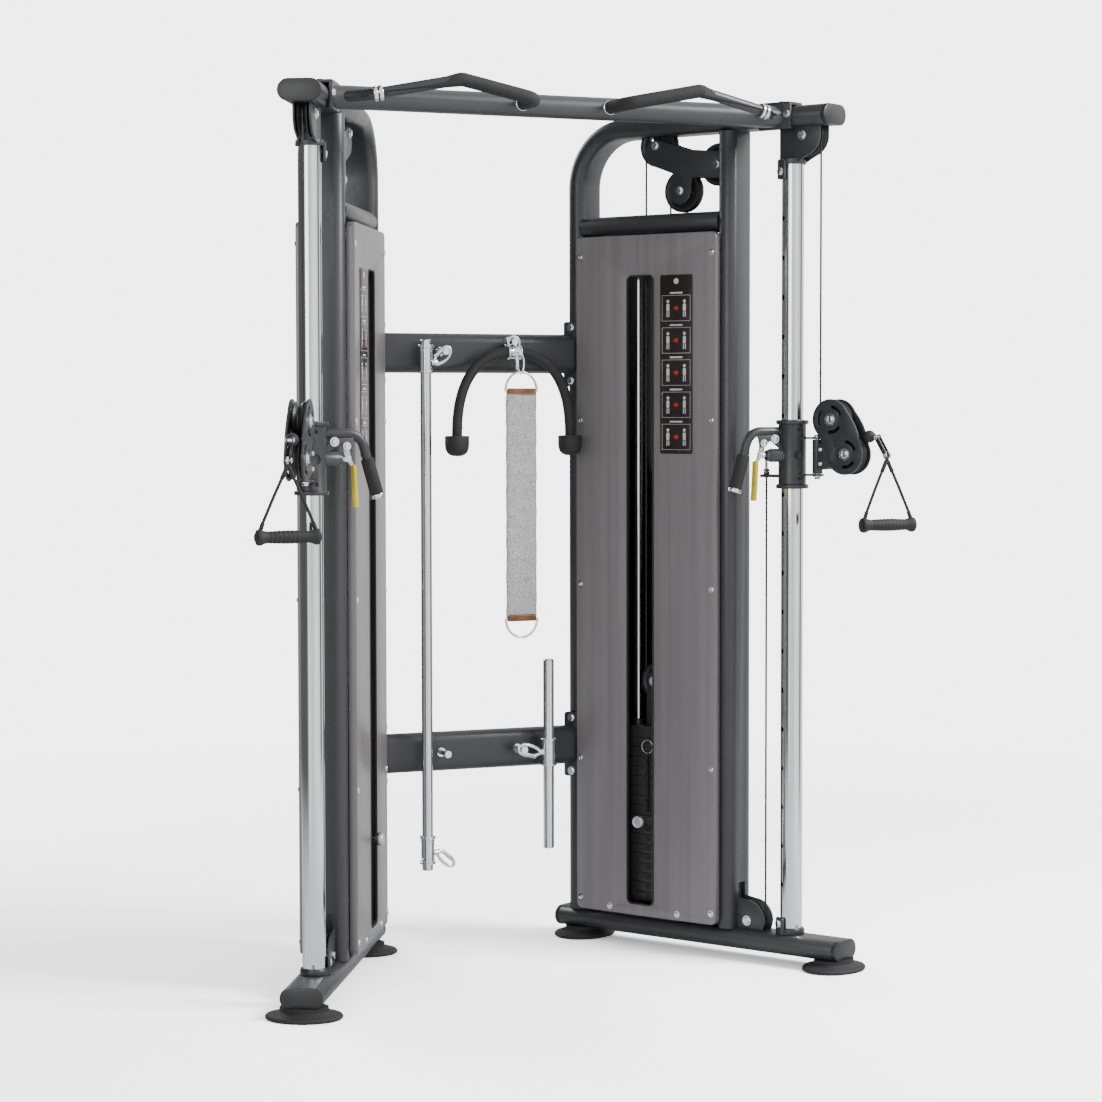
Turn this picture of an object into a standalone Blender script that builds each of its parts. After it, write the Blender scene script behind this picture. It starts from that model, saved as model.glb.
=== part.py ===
"""Functional trainer: two splayed weight towers joined by cross beams and a pull-up bar.

Metres, +Z up, front of the machine at -Y. The origin is on the floor, at the middle of the
machine's bounding box. Each tower is modelled once in its own frame and mirrored:
u runs from the rear upright to the front, v points to the inside of the machine.
"""
import bpy
import bmesh
from math import atan2, cos, pi, radians, sin, tan
from mathutils import Matrix, Vector

# ---------------------------------------------------------------- driving dimensions
GAP = 0.0004                    # clearance between pieces that touch
SPLAY = radians(29.3)           # angle between a tower and the fore-and-aft direction
TOWER_X = 0.300                 # half distance between the towers where u = 0
TOWER_Y = 0.3819                # where u = 0 along the machine's depth

TUBE_W = 0.100                  # flat-oval frame tube, wide side
TUBE_H = 0.050                  # flat-oval frame tube, narrow side
WALL = 0.003
BASE_Z = 0.050                  # middle of the base beam
TOP_Z = 2.085                   # middle of the top beam
BEND_R = 0.1425                 # middle of the arch bend
U_REAR = 0.019
U_MAIN = 0.484
U_BASE = (-0.045, 0.813)
U_TOP_END = 0.776
RAIL_Z = 1.8405
FOOT_U = (0.017, 0.779)
FOOT_STEPS = ((0.089, 0.073, 0.0, 0.010), (0.072, 0.058, 0.009, 0.015),
              (0.056, 0.044, 0.014, 0.027))   # half width, half length, bottom, top

GUIDE_U = 0.655
GUIDE_R = 0.027
GUIDE_SIDES = 18
GUIDE_Z = (BASE_Z + TUBE_H / 2 + GAP, 1.974)
INDEX_PITCH = 0.0965
INDEX_DOWN = 11                 # index holes below the one in use
INDEX_UP = 6                    # index holes above it
INDEX_R = 0.0065
PIN_Z = 1.260                   # height of the index plunger at rest

CABLE_R = 0.0025
PULLEY_R = 0.053
PULLEY_LINE = 0.0415            # radius of the cable's middle on the big pulleys
PULLEY_T = 0.0115               # half thickness
SWIVEL_R = 0.0455
SWIVEL_LINE = 0.0405
FLOAT_R = 0.046
AXLE_R = 0.006
BORE_R = 0.0062
REAR_TOP = (0.2564, 2.0385)     # pulley centres in the tower plane, u and z
UPRIGHT_TOP = (0.442, 1.982)
STACK_TOP = (0.332, 1.9215)
FRONT_TOP = (0.694, 2.0385)
FRONT_BASE = (0.5385, 0.0966)
FLOATING = (0.2527, 0.680)
SWIVEL_UP = (0.7762, 1.3475)
SWIVEL_LOW = (0.8166, 1.2635)
ANCHOR_U = FRONT_BASE[0] + PULLEY_LINE
ANCHOR_Z = 1.205                # top of the cable's fixed end, on the carriage

SHROUD_U = (0.044, 0.476)
SHROUD_Z = (0.0835, 1.8126)
SHROUD_V = (0.0506, 0.070)
SHEET = 0.0025
SLOT_U = (0.203, 0.287)
SLOT_Z = (0.111, 1.7115)

STACK_U = 0.2527
STACK_HALF = (0.100, 0.045)     # half sizes of a plate along u and v
PLATE = 0.0247
PLATES_DOWN = 8
PLATES_UP = 9
HEAD = 0.030
STACK_Z = 0.1170
ROD_OFF = 0.062
ROD_R = 0.0095
STEM_R = 0.012
PIN_R = 0.0048

SLEEVE_Z = (1.1785, 1.3465)
SLEEVE_R = 0.034
SLEEVE_BORE = 0.0274
FLANGE_R = 0.040
HINGE_U = 0.7277
HINGE_Z = (1.2122, 1.3025)
PLATE_V = (0.0175, 0.0215)      # swivel side plates
LEVER_PIVOT = (0.083, 1.2897)   # distance from the guide axis, height
LEVER_TIP = (0.1068, 1.147)
GRIP_PATH = ((0.029, 1.3185), (0.1177, 1.3185), (0.1607, 1.170))
BALL = (0.8743, 1.307)
BALL_R = 0.015
LINK_END = (0.923, 1.262)
HANDLE_Z = 1.095
HANDLE_HALF = 0.073

BAR_Y = TOWER_Y - 0.580         # pull-up bar
BAR_Z = 2.083
BAR_R = 0.027
BEAM_Y = TOWER_Y - 0.041        # rear cross beams
BEAM_Z = (0.506, 1.516)
HANG_Y = TOWER_Y - 0.108        # plane in which the stored attachments hang

CHARCOAL = (0.047, 0.048, 0.050)
BLACK = (0.012, 0.012, 0.013)
CHROME = (0.78, 0.79, 0.80)
GREY = (0.165, 0.158, 0.160)
STEEL = (0.30, 0.30, 0.31)
YELLOW = (0.83, 0.66, 0.02)
FLEECE = (0.62, 0.62, 0.61)


# ---------------------------------------------------------------- scene and materials
def clear_scene():
    for obj in list(bpy.data.objects):
        bpy.data.objects.remove(obj, do_unlink=True)


def material(name, colour, roughness, metallic):
    mat = bpy.data.materials.new(name)
    mat.use_nodes = True
    shader = mat.node_tree.nodes["Principled BSDF"]
    shader.inputs["Base Color"].default_value = (*colour, 1.0)
    shader.inputs["Roughness"].default_value = roughness
    shader.inputs["Metallic"].default_value = metallic
    return mat


def make_materials():
    return {
        "powder": material("powder_coat", CHARCOAL, 0.42, 0.2),
        "chrome": material("chrome", CHROME, 0.12, 1.0),
        "panel": material("panel_grey", GREY, 0.40, 0.3),
        "plate": material("stack_black", BLACK, 0.45, 0.3),
        "nylon": material("pulley_nylon", BLACK, 0.5, 0.0),
        "rubber": material("rubber", BLACK, 0.75, 0.0),
        "steel": material("zinc_steel", STEEL, 0.3, 1.0),
        "cable": material("cable_sheath", BLACK, 0.35, 0.0),
        "yellow": material("yellow_grip", YELLOW, 0.45, 0.0),
        "fleece": material("strap_fabric", FLEECE, 0.9, 0.0),
    }


# ---------------------------------------------------------------- outlines
def arc(centre, radius, start, end, steps):
    """Points on an arc, angles in degrees, both ends included."""
    points = []
    for step in range(steps + 1):
        angle = radians(start + (end - start) * step / steps)
        points.append((centre[0] + radius * cos(angle), centre[1] + radius * sin(angle)))
    return points


def circle(centre, radius, sides):
    return arc(centre, radius, 0, 360 * (sides - 1) / sides, sides - 1)


def ellipse(centre, half_x, half_y, sides):
    return [(centre[0] + half_x * x, centre[1] + half_y * y) for x, y in circle((0, 0), 1, sides)]


def racetrack(half_x, half_y, steps=5):
    """Flat-oval outline, straight on its long sides."""
    radius = min(half_x, half_y)
    if half_x > half_y:
        return (arc((half_x - radius, 0), radius, -90, 90, steps)
                + arc((radius - half_x, 0), radius, 90, 270, steps))
    return (arc((0, half_y - radius), radius, 0, 180, steps)
            + arc((0, radius - half_y), radius, 180, 360, steps))


def rectangle(low, high, radius=0.0, steps=3):
    if radius == 0.0:
        return [(low[0], low[1]), (high[0], low[1]), (high[0], high[1]), (low[0], high[1])]
    return (arc((high[0] - radius, low[1] + radius), radius, -90, 0, steps)
            + arc((high[0] - radius, high[1] - radius), radius, 0, 90, steps)
            + arc((low[0] + radius, high[1] - radius), radius, 90, 180, steps)
            + arc((low[0] + radius, low[1] + radius), radius, 180, 270, steps))


def lobe_pair(first, second, radius, steps=8):
    """Outline around two equal circles, like a belt."""
    angle = atan2(second[1] - first[1], second[0] - first[0]) * 180 / pi
    return (arc(second, radius, angle - 90, angle + 90, steps)
            + arc(first, radius, angle + 90, angle + 270, steps))


def rounded_path(corners, radius, steps=5):
    """A polyline in space with each inner corner replaced by an arc."""
    points = [Vector(corners[0])]
    for before, corner, after in zip(corners, corners[1:], corners[2:]):
        corner = Vector(corner)
        back = (Vector(before) - corner).normalized()
        ahead = (Vector(after) - corner).normalized()
        half = back.angle(ahead) / 2
        centre = corner + (back + ahead).normalized() * radius / sin(half)
        start = corner + back * radius / tan(half) - centre
        end = corner + ahead * radius / tan(half) - centre
        sweep_angle = start.angle(end)
        for step in range(steps + 1):
            part = step / steps
            points.append(centre + (start * sin((1 - part) * sweep_angle)
                                    + end * sin(part * sweep_angle)) / sin(sweep_angle))
    points.append(Vector(corners[-1]))
    return points


# ---------------------------------------------------------------- solids
AXES = {
    "u": (Vector((0, 1, 0)), Vector((0, 0, 1)), Vector((1, 0, 0))),
    "v": (Vector((0, 0, 1)), Vector((1, 0, 0)), Vector((0, 1, 0))),
    "z": (Vector((1, 0, 0)), Vector((0, 1, 0)), Vector((0, 0, 1))),
}
# An outline extruded along v is given as (z, u) by prism_v, which takes (u, z) points.


def finish_mesh(bm):
    bm.normal_update()
    bmesh.ops.recalc_face_normals(bm, faces=bm.faces)
    return bm


def prism(outline, low, high, axis="z", hole=None):
    """Extrude an outline from low to high along an axis, with an optional hole outline."""
    first, second, third = AXES[axis]
    bm = bmesh.new()
    loops = []
    for points in [outline] + ([hole] if hole else []):
        for level in (low, high):
            loops.append([bm.verts.new(first * p + second * q + third * level) for p, q in points])
    for lower, upper in zip(loops[0::2], loops[1::2]):
        count = len(lower)
        for i in range(count):
            bm.faces.new((lower[i], lower[(i + 1) % count], upper[(i + 1) % count], upper[i]))
    if hole:
        for side in (0, 1):
            outer, inner = loops[side], loops[2 + side]
            for i in range(len(outer)):
                j = (i + 1) % len(outer)
                bm.faces.new((outer[i], outer[j], inner[j], inner[i]))
    else:
        bm.faces.new(loops[0])
        bm.faces.new(loops[1])
    return finish_mesh(bm)


def prism_v(outline, low, high):
    """Extrude a (u, z) outline along v."""
    return prism([(z, u) for u, z in outline], low, high, "v")


def box(low, high):
    return prism([(low[0], low[1]), (high[0], low[1]), (high[0], high[1]), (low[0], high[1])],
                 low[2], high[2])


def sweep(path, outline):
    """Sweep a closed outline along a path; the outline's second axis starts near v."""
    bm = bmesh.new()
    path = [Vector(p) for p in path]
    side = None
    rings = []
    for i, point in enumerate(path):
        ahead = path[min(i + 1, len(path) - 1)] - path[max(i - 1, 0)]
        ahead.normalize()
        if side is None:
            side = Vector((0, 1, 0)) if abs(ahead.y) < 0.9 else Vector((0, 0, 1))
        side = (side - ahead * side.dot(ahead)).normalized()
        other = side.cross(ahead)
        stretch = 1.0
        if 0 < i < len(path) - 1:
            bend = (path[i + 1] - point).angle(point - path[i - 1])
            stretch = 1.0 / cos(bend / 2)
        turn = Vector((0, 0, 0))
        if stretch > 1.0001:
            turn = (path[i + 1] - point).normalized() - (point - path[i - 1]).normalized()
            turn.normalize()
        ring = []
        for p, q in outline:
            offset = other * p + side * q
            offset += turn * offset.dot(turn) * (stretch - 1.0)
            ring.append(bm.verts.new(point + offset))
        rings.append(ring)
    count = len(outline)
    for lower, upper in zip(rings, rings[1:]):
        for i in range(count):
            bm.faces.new((lower[i], lower[(i + 1) % count], upper[(i + 1) % count], upper[i]))
    bm.faces.new(rings[0])
    bm.faces.new(rings[-1])
    return finish_mesh(bm)


def rod(start, end, radius, sides=16):
    return sweep([start, end], circle((0, 0), radius, sides))


def turned(profile, sides, centre=(0, 0, 0), axis="z"):
    """Turn an outline of (radius, height) points, closed and off the axis, about an axis."""
    first, second, third = AXES[axis]
    bm = bmesh.new()
    rings = []
    for step in range(sides):
        angle = 2 * pi * step / sides
        out = first * cos(angle) + second * sin(angle)
        rings.append([bm.verts.new(out * r + third * h + Vector(centre)) for r, h in profile])
    count = len(profile)
    for step in range(sides):
        here, there = rings[step], rings[(step + 1) % sides]
        for i in range(count):
            j = (i + 1) % count
            bm.faces.new((here[i], here[j], there[j], there[i]))
    return finish_mesh(bm)


def lathe_solid(profile, sides, matrix):
    """Turn a profile that starts and ends on the axis into a solid, then place it."""
    bm = bmesh.new()
    bottom = bm.verts.new((0, 0, profile[0][1]))
    top = bm.verts.new((0, 0, profile[-1][1]))
    rings = []
    for r, h in profile[1:-1]:
        rings.append([bm.verts.new((r * cos(2 * pi * s / sides), r * sin(2 * pi * s / sides), h))
                      for s in range(sides)])
    for s in range(sides):
        t = (s + 1) % sides
        bm.faces.new((bottom, rings[0][t], rings[0][s]))
        bm.faces.new((top, rings[-1][s], rings[-1][t]))
        for lower, upper in zip(rings, rings[1:]):
            bm.faces.new((lower[s], lower[t], upper[t], upper[s]))
    bmesh.ops.transform(bm, matrix=matrix, verts=bm.verts)
    return finish_mesh(bm)


def rotated(bm, angle, about):
    """Turn a solid about the vertical through a point."""
    bmesh.ops.rotate(bm, verts=bm.verts, cent=Vector(about), matrix=Matrix.Rotation(angle, 3, "Z"))
    return bm


def merged(solids):
    """Put separate solids in one mesh, for use as one cutter."""
    total = bmesh.new()
    scratch = bpy.data.meshes.new("scratch")
    for solid in solids:
        solid.to_mesh(scratch)
        total.from_mesh(scratch)
        solid.free()
    bpy.data.meshes.remove(scratch)
    return total


# ---------------------------------------------------------------- placing
class Frame:
    """A place to model in: a tower's frame, mirrored on the right side, or the machine's own."""

    def __init__(self, name, suffix, location, turn, mirrored):
        self.suffix = suffix
        self.mirrored = mirrored
        self.empty = bpy.data.objects.new(name, None)
        self.empty.location = location
        self.empty.rotation_euler = (0, 0, turn)
        bpy.context.scene.collection.objects.link(self.empty)

    def put(self, name, bm, mat=None, origin=(0, 0, 0), cuts=(), joins=(), smooth=40):
        """Make a node of a solid given in this frame; cuts and joins are solids too."""
        obj = self.mesh_object(name + self.suffix, bm, origin, smooth)
        if mat:
            obj.data.materials.append(mat)
        self.alter(obj, "UNION", joins, mat, origin, smooth)
        self.alter(obj, "DIFFERENCE", cuts, mat, origin, smooth)
        return obj

    def alter(self, obj, kind, solids, mat=None, origin=(0, 0, 0), smooth=40):
        """Join solids to a node, or cut them from it, after what was done to it before."""
        for solid in solids:
            name = f"{kind.lower()}_{len(obj.modifiers)}"
            tool = self.mesh_object(f"{obj.name}_{name}", solid, origin, smooth)
            if mat:
                tool.data.materials.append(mat)
            tool.hide_render = True
            tool.display_type = "WIRE"
            change = obj.modifiers.new(name, "BOOLEAN")
            change.operation = kind
            change.solver = "EXACT"
            change.object = tool

    def mesh_object(self, name, bm, origin, smooth):
        origin = Vector(origin)
        bmesh.ops.translate(bm, verts=bm.verts, vec=-origin)
        if self.mirrored:
            bmesh.ops.scale(bm, verts=bm.verts, vec=(1, -1, 1))
            bmesh.ops.reverse_faces(bm, faces=bm.faces)
            origin.y = -origin.y
        mesh = bpy.data.meshes.new(name)
        bm.to_mesh(mesh)
        bm.free()
        mesh.shade_smooth()
        mesh.set_sharp_from_angle(angle=radians(smooth))
        obj = bpy.data.objects.new(name, mesh)
        obj.parent = self.empty
        obj.location = origin
        bpy.context.scene.collection.objects.link(obj)
        return obj


def tower_frames():
    left = Frame("tower_left", "_left", (-TOWER_X, TOWER_Y, 0), -pi / 2 - SPLAY, False)
    right = Frame("tower_right", "_right", (TOWER_X, TOWER_Y, 0), -pi / 2 + SPLAY, True)
    return left, right


def toward_inside(distance, front=0.0):
    """Offset in (u, v) for a step straight across the machine, and one to its front."""
    return (-distance * sin(SPLAY) + front * cos(SPLAY),
            distance * cos(SPLAY) + front * sin(SPLAY))


def at_guide(distance, z, front=0.0):
    """A point at a distance from the guide tube's axis towards the machine's middle."""
    du, dv = toward_inside(distance, front)
    return (GUIDE_U + du, dv, z)


# ---------------------------------------------------------------- frame pieces
def pulley_slot(centre, low, high, half_v=0.0155):
    reach = PULLEY_R + 0.004
    return box((centre[0] - reach, -half_v, low), (centre[0] + reach, half_v, high))


def base_beam(frame, mats):
    outer = racetrack(TUBE_H / 2, TUBE_W / 2)
    inner = racetrack(TUBE_H / 2 - WALL, TUBE_W / 2 - WALL)
    beam = prism([(y, z + BASE_Z) for z, y in outer], U_BASE[0], U_BASE[1] - 0.012, "u",
                 [(y, z + BASE_Z) for z, y in inner])
    joins = []
    cap = racetrack(TUBE_H / 2 - 0.0002, TUBE_W / 2 - 0.0002)
    joins.append(prism([(y, z + BASE_Z) for z, y in cap], U_BASE[1] - 0.014, U_BASE[1], "u"))
    for u in FOOT_U:
        for half_v, half_u, low, high in FOOT_STEPS:
            joins.append(prism(ellipse((u, 0), half_u, half_v, 16), low, high))
    top = BASE_Z + TUBE_H / 2
    joins.append(rod((GUIDE_U, 0, top - 0.002), (GUIDE_U, 0, 0.135), GUIDE_R - WALL - 0.0005, 14))
    ear = box((GUIDE_U - 0.016, 0.0283, top - 0.012), (GUIDE_U + 0.016, 0.0345, 0.116))
    joins.append(rotated(ear, SPLAY, (GUIDE_U, 0, 0)))
    slot = pulley_slot(FRONT_BASE, 0.040, top + 0.005)
    frame.put("base_beam", beam, mats["powder"], cuts=[slot], joins=joins)


def main_upright(frame, mats):
    low = BASE_Z + TUBE_H / 2 + GAP
    high = TOP_Z - TUBE_H / 2 - GAP
    outer = [(U_MAIN + x, y) for x, y in racetrack(TUBE_H / 2, TUBE_W / 2)]
    inner = [(U_MAIN + x, y) for x, y in racetrack(TUBE_H / 2 - WALL, TUBE_W / 2 - WALL)]
    tube = prism(outer, low, high, "z", inner)
    rail_out = [(y, z + RAIL_Z) for z, y in racetrack(TUBE_H / 2, TUBE_W / 2 - 0.0003)]
    rail_in = [(y, z + RAIL_Z) for z, y in racetrack(TUBE_H / 2 - WALL, TUBE_W / 2 - WALL)]
    rear_face = U_REAR + TUBE_H / 2 + GAP
    rail = prism(rail_out, rear_face, U_MAIN - TUBE_H / 2 + 0.002, "u", rail_in)
    joins = [rail]
    u, z = FRONT_BASE
    cheek = ([(U_MAIN + TUBE_H / 2 - 0.002, low), (u + 0.046, low)]
             + arc((u, z), 0.0505, 0, 90, 6) + [(u, z + 0.0565), (U_MAIN + 0.023, z + 0.0565)])
    for v in (0.0165, -0.0215):
        joins.append(prism_v(cheek, v, v + 0.005))
    joins.append(rod((u, -0.018, z), (u, 0.018, z), AXLE_R, 8))
    top_window = box((U_MAIN - 0.030, -0.0145, 1.918), (U_MAIN - 0.018, 0.0145, 2.046))
    base_window = box((U_MAIN + 0.018, -0.0145, low - 0.01), (U_MAIN + 0.030, 0.0145, 0.168))
    cable_ways = box((0.200, -0.012, RAIL_Z - 0.04), (0.306, 0.012, RAIL_Z + 0.04))
    frame.put("main_upright", tube, mats["powder"], cuts=[top_window, base_window, cable_ways],
              joins=joins)


def arch_tube(frame, mats):
    low = BASE_Z + TUBE_H / 2 + GAP
    path = rounded_path([(U_REAR, 0, low), (U_REAR, 0, TOP_Z), (U_TOP_END - 0.012, 0, TOP_Z)],
                        BEND_R, 7)
    tube = sweep(path, racetrack(TUBE_H / 2, TUBE_W / 2))
    bore = sweep([path[0] - Vector((0, 0, 0.01))] + path[1:-1] + [path[-1] + Vector((0.01, 0, 0))],
                 racetrack(TUBE_H / 2 - WALL, TUBE_W / 2 - WALL))
    hollow = frame.put("arch_tube", tube, mats["powder"], cuts=[bore])
    joins = []
    cap = racetrack(TUBE_H / 2 - 0.0002, TUBE_W / 2 - 0.0002)
    joins.append(prism([(y, z + TOP_Z) for z, y in cap], U_TOP_END - 0.014, U_TOP_END, "u"))
    under = TOP_Z - TUBE_H / 2
    u, z = FRONT_TOP
    cheek = [(0.636, under + 0.001), (0.636, 1.978), (0.690, 1.978)] \
        + arc((u, z), 0.0505, -70, 0, 6) + [(u + 0.0505, under + 0.001)]
    for v in (0.0165, -0.0215):
        joins.append(prism_v(cheek, v, v + 0.005))
    joins.append(rod((u, -0.018, z), (u, 0.018, z), AXLE_R, 8))
    joins.append(box((0.6285, -0.0300, 1.9748), (0.6800, 0.0300, 1.9830)))
    joins.append(rod((GUIDE_U, 0, 1.925), (GUIDE_U, 0, 1.978), GUIDE_R - WALL - 0.0005, 14))
    ear = box((GUIDE_U - 0.016, 0.0283, 1.934), (GUIDE_U + 0.016, 0.0345, 1.981))
    joins.append(rotated(ear, SPLAY, (GUIDE_U, 0, 0)))
    cuts = [pulley_slot(centre, under - 0.003, TOP_Z) for centre in (FRONT_TOP, REAR_TOP)]
    frame.alter(hollow, "UNION", joins, mats["powder"])
    frame.alter(hollow, "DIFFERENCE", cuts, mats["powder"])


def guide_tube(frame, mats):
    outer = circle((GUIDE_U, 0), GUIDE_R, GUIDE_SIDES)
    inner = circle((GUIDE_U, 0), GUIDE_R - WALL, GUIDE_SIDES)
    tube = prism(outer, *GUIDE_Z, "z", inner)
    rotated(tube, SPLAY + pi / GUIDE_SIDES, (GUIDE_U, 0, 0))
    holes = []
    for step in range(-INDEX_DOWN, INDEX_UP + 1):
        z = PIN_Z + step * INDEX_PITCH
        holes.append(rod(at_guide(0.015, z), at_guide(0.040, z), INDEX_R, 6))
    frame.put("guide_tube", tube, mats["chrome"], cuts=[merged(holes)])


def shroud(frame, mats, name, side, slotted):
    """A shallow sheet-metal tray that closes one face of the tower."""
    back, face = (side * SHROUD_V[0], side * SHROUD_V[1])
    low = (SHROUD_U[0], SHROUD_Z[0])
    high = (SHROUD_U[1], SHROUD_Z[1])
    outline = rectangle(low, high, 0.018, 3)
    tray = prism_v(outline, min(back, face), max(back, face))
    inside = rectangle((low[0] + SHEET, low[1] + SHEET), (high[0] - SHEET, high[1] - SHEET),
                       0.0155, 3)
    floor = face - side * SHEET
    mouth = back - side * 0.01
    cuts = [prism_v(inside, min(floor, mouth), max(floor, mouth))]
    if slotted:
        slot = rectangle((SLOT_U[0], SLOT_Z[0]), (SLOT_U[1], SLOT_Z[1]), 0.030, 5)
        cuts.append(prism_v(slot, 0.060, 0.080))
    frame.put(name, tray, mats["panel"], cuts=cuts)


# ---------------------------------------------------------------- weight stack
def plate_block(low, count, extra):
    """A pile of plates as one solid, with a fine step at each joint between them."""
    step = 0.0012
    half_u, half_v = STACK_HALF
    centre = Vector((STACK_U, 0, 0))
    bm = bmesh.new()
    rings = []
    levels = []
    for index in range(count):
        bottom = low + index * PLATE
        levels += [(bottom, step), (bottom + step, 0), (bottom + PLATE - step, 0)]
    levels.append((low + count * PLATE, step))
    if extra:
        levels += [(low + count * PLATE + step, 0), (low + count * PLATE + extra, 0)]
    for z, inset in levels:
        outline = rectangle((-half_u + inset, -half_v + inset), (half_u - inset, half_v - inset))
        rings.append([bm.verts.new(centre + Vector((x, y, z))) for x, y in outline])
    for lower, upper in zip(rings, rings[1:]):
        for i in range(len(lower)):
            j = (i + 1) % len(lower)
            bm.faces.new((lower[i], lower[j], upper[j], upper[i]))
    bm.faces.new(rings[0])
    bm.faces.new(rings[-1])
    return finish_mesh(bm)


def rod_bores(low, high):
    return [rod((STACK_U + off, 0, low), (STACK_U + off, 0, high), ROD_R + 0.0012, 10)
            for off in (-ROD_OFF, ROD_OFF)]


def pin_holes(low, count, depth):
    return [rod((STACK_U, STACK_HALF[1] + 0.01, low + (index + 0.5) * PLATE),
                (STACK_U, depth, low + (index + 0.5) * PLATE), PIN_R + 0.0005, 6)
            for index in range(count)]


def weight_stack(frame, mats):
    split = STACK_Z + PLATES_DOWN * PLATE
    rest = plate_block(STACK_Z, PLATES_DOWN, 0)
    bores = rod_bores(STACK_Z - 0.01, split + 0.01)
    bores.append(rod((STACK_U, 0, STACK_Z - 0.01), (STACK_U, 0, split + 0.01), STEM_R + 0.0015, 10))
    bores += pin_holes(STACK_Z, PLATES_DOWN, STACK_HALF[1] - 0.014)
    frame.put("weight_stack_rest", rest, mats["plate"], cuts=[merged(bores)])

    lifted = plate_block(split + GAP, PLATES_UP, HEAD)
    top = split + GAP + PLATES_UP * PLATE + HEAD
    stem = rod((STACK_U, 0, STACK_Z + 0.008), (STACK_U, 0, split + 0.02), STEM_R, 10)
    joins = [stem]
    u, z = FLOATING
    cheek = rectangle((u - 0.022, top - 0.004), (u + 0.022, z + 0.020), 0.008, 2)
    for v in (0.0165, -0.0215):
        joins.append(prism_v(cheek, v, v + 0.005))
    joins.append(box((u - 0.030, -0.0225, top - 0.004), (u + 0.030, 0.0225, top + 0.012)))
    joins.append(rod((u, -0.018, z), (u, 0.018, z), AXLE_R, 8))
    bores = rod_bores(split - 0.01, top + 0.01)
    bores += pin_holes(split + GAP + PLATE, PLATES_UP - 1, STACK_HALF[1] - 0.014)
    pin_z = split + GAP + PLATE / 2
    bores.append(rod((STACK_U, 0.055, pin_z), (STACK_U, -0.018, pin_z), PIN_R + 0.0005, 8))
    frame.put("weight_stack_lifted", lifted, mats["plate"], cuts=[merged(bores)], joins=joins)

    pin = rod((STACK_U, -0.012, pin_z), (STACK_U, 0.078, pin_z), PIN_R, 8)
    turn = Matrix.Translation((STACK_U, 0.074, pin_z)) @ Matrix.Rotation(-pi / 2, 4, "X")
    knob = lathe_solid([(0, 0), (0.008, 0), (0.009, 0.004), (0.0135, 0.008), (0.0135, 0.018),
                        (0.010, 0.023), (0, 0.023)], 16, turn)
    frame.put("selector_pin", pin, mats["chrome"], origin=(STACK_U, 0.046, pin_z), joins=[knob])


def guide_rods(frame, mats):
    floor = BASE_Z + TUBE_H / 2 + GAP
    plate = box((STACK_U - 0.095, -0.043, floor), (STACK_U + 0.095, 0.043, floor + 0.010))
    ceiling = RAIL_Z - TUBE_H / 2 - GAP
    joins = []
    for off in (-ROD_OFF, ROD_OFF):
        joins.append(rod((STACK_U + off, 0, floor + 0.004), (STACK_U + off, 0, ceiling), ROD_R, 12))
        joins.append(rod((STACK_U + off, 0, floor + 0.006), (STACK_U + off, 0, STACK_Z - GAP),
                         0.019, 16))
    frame.put("guide_rods", plate, mats["chrome"], joins=joins)


# ---------------------------------------------------------------- pulleys
def pulley(frame, mats, name, centre, radius, line, sides=16):
    """A grooved wheel turning about v."""
    u, z = centre
    root = line - CABLE_R - 0.0012
    half = PULLEY_T
    profile = [(BORE_R, -half), (radius, -half), (root, -CABLE_R), (root, CABLE_R), (radius, half),
               (BORE_R, half)]
    wheel = turned(profile, sides, (u, 0, z), "v")
    frame.put(name, wheel, mats["nylon"], origin=(u, 0, z), smooth=35)


def pulleys(frame, mats):
    for name, centre in (("rear_top_pulley", REAR_TOP), ("upright_pulley", UPRIGHT_TOP),
                         ("stack_pulley", STACK_TOP), ("front_top_pulley", FRONT_TOP),
                         ("front_base_pulley", FRONT_BASE)):
        pulley(frame, mats, name, centre, PULLEY_R, PULLEY_LINE)
    float_line = (STACK_TOP[0] - PULLEY_LINE - REAR_TOP[0] + PULLEY_LINE) / 2
    pulley(frame, mats, "floating_pulley", FLOATING, FLOAT_R, float_line)
    pulley(frame, mats, "swivel_pulley_upper", SWIVEL_UP, SWIVEL_R, SWIVEL_LINE)
    pulley(frame, mats, "swivel_pulley_lower", SWIVEL_LOW, SWIVEL_R, SWIVEL_LINE)


def three_arm_outline(hub, ends, radius):
    """Round-ended arms from a hub to three ends, given anticlockwise."""
    turns = [atan2(z - hub[1], u - hub[0]) * 180 / pi % 360 for u, z in ends]
    outline = []
    for index, end in enumerate(ends):
        here = turns[index]
        ahead = (turns[(index + 1) % 3] - here) % 360
        outline += arc(end, radius, here - 90, here + 90, 5)
        reach = radius / sin(radians(ahead / 2))
        outline += arc(hub, reach, here + ahead / 2, here + ahead / 2 + 1, 1)[:1]
    return outline


def pulley_plates(frame, mats):
    """A pair of three-armed plates on three axles, under the arch."""
    radius = 0.040
    under = TOP_Z - TUBE_H / 2 - GAP
    above_rail = RAIL_Z + TUBE_H / 2 + GAP
    ends = ((UPRIGHT_TOP[0] - 0.026, UPRIGHT_TOP[1]), (REAR_TOP[0], under - radius),
            (STACK_TOP[0], above_rail + radius + 0.001))
    outline = three_arm_outline((0.345, 1.978), ends, radius)
    plates = [prism_v(outline, near, near + 0.004) for near in (0.0165, -0.0205)]
    axles = [rod((u, -0.0185, z), (u, 0.0185, z), AXLE_R, 8)
             for u, z in (REAR_TOP, UPRIGHT_TOP, STACK_TOP)]
    frame.put("pulley_plates", plates[0], mats["powder"], joins=plates[1:] + axles)


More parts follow.
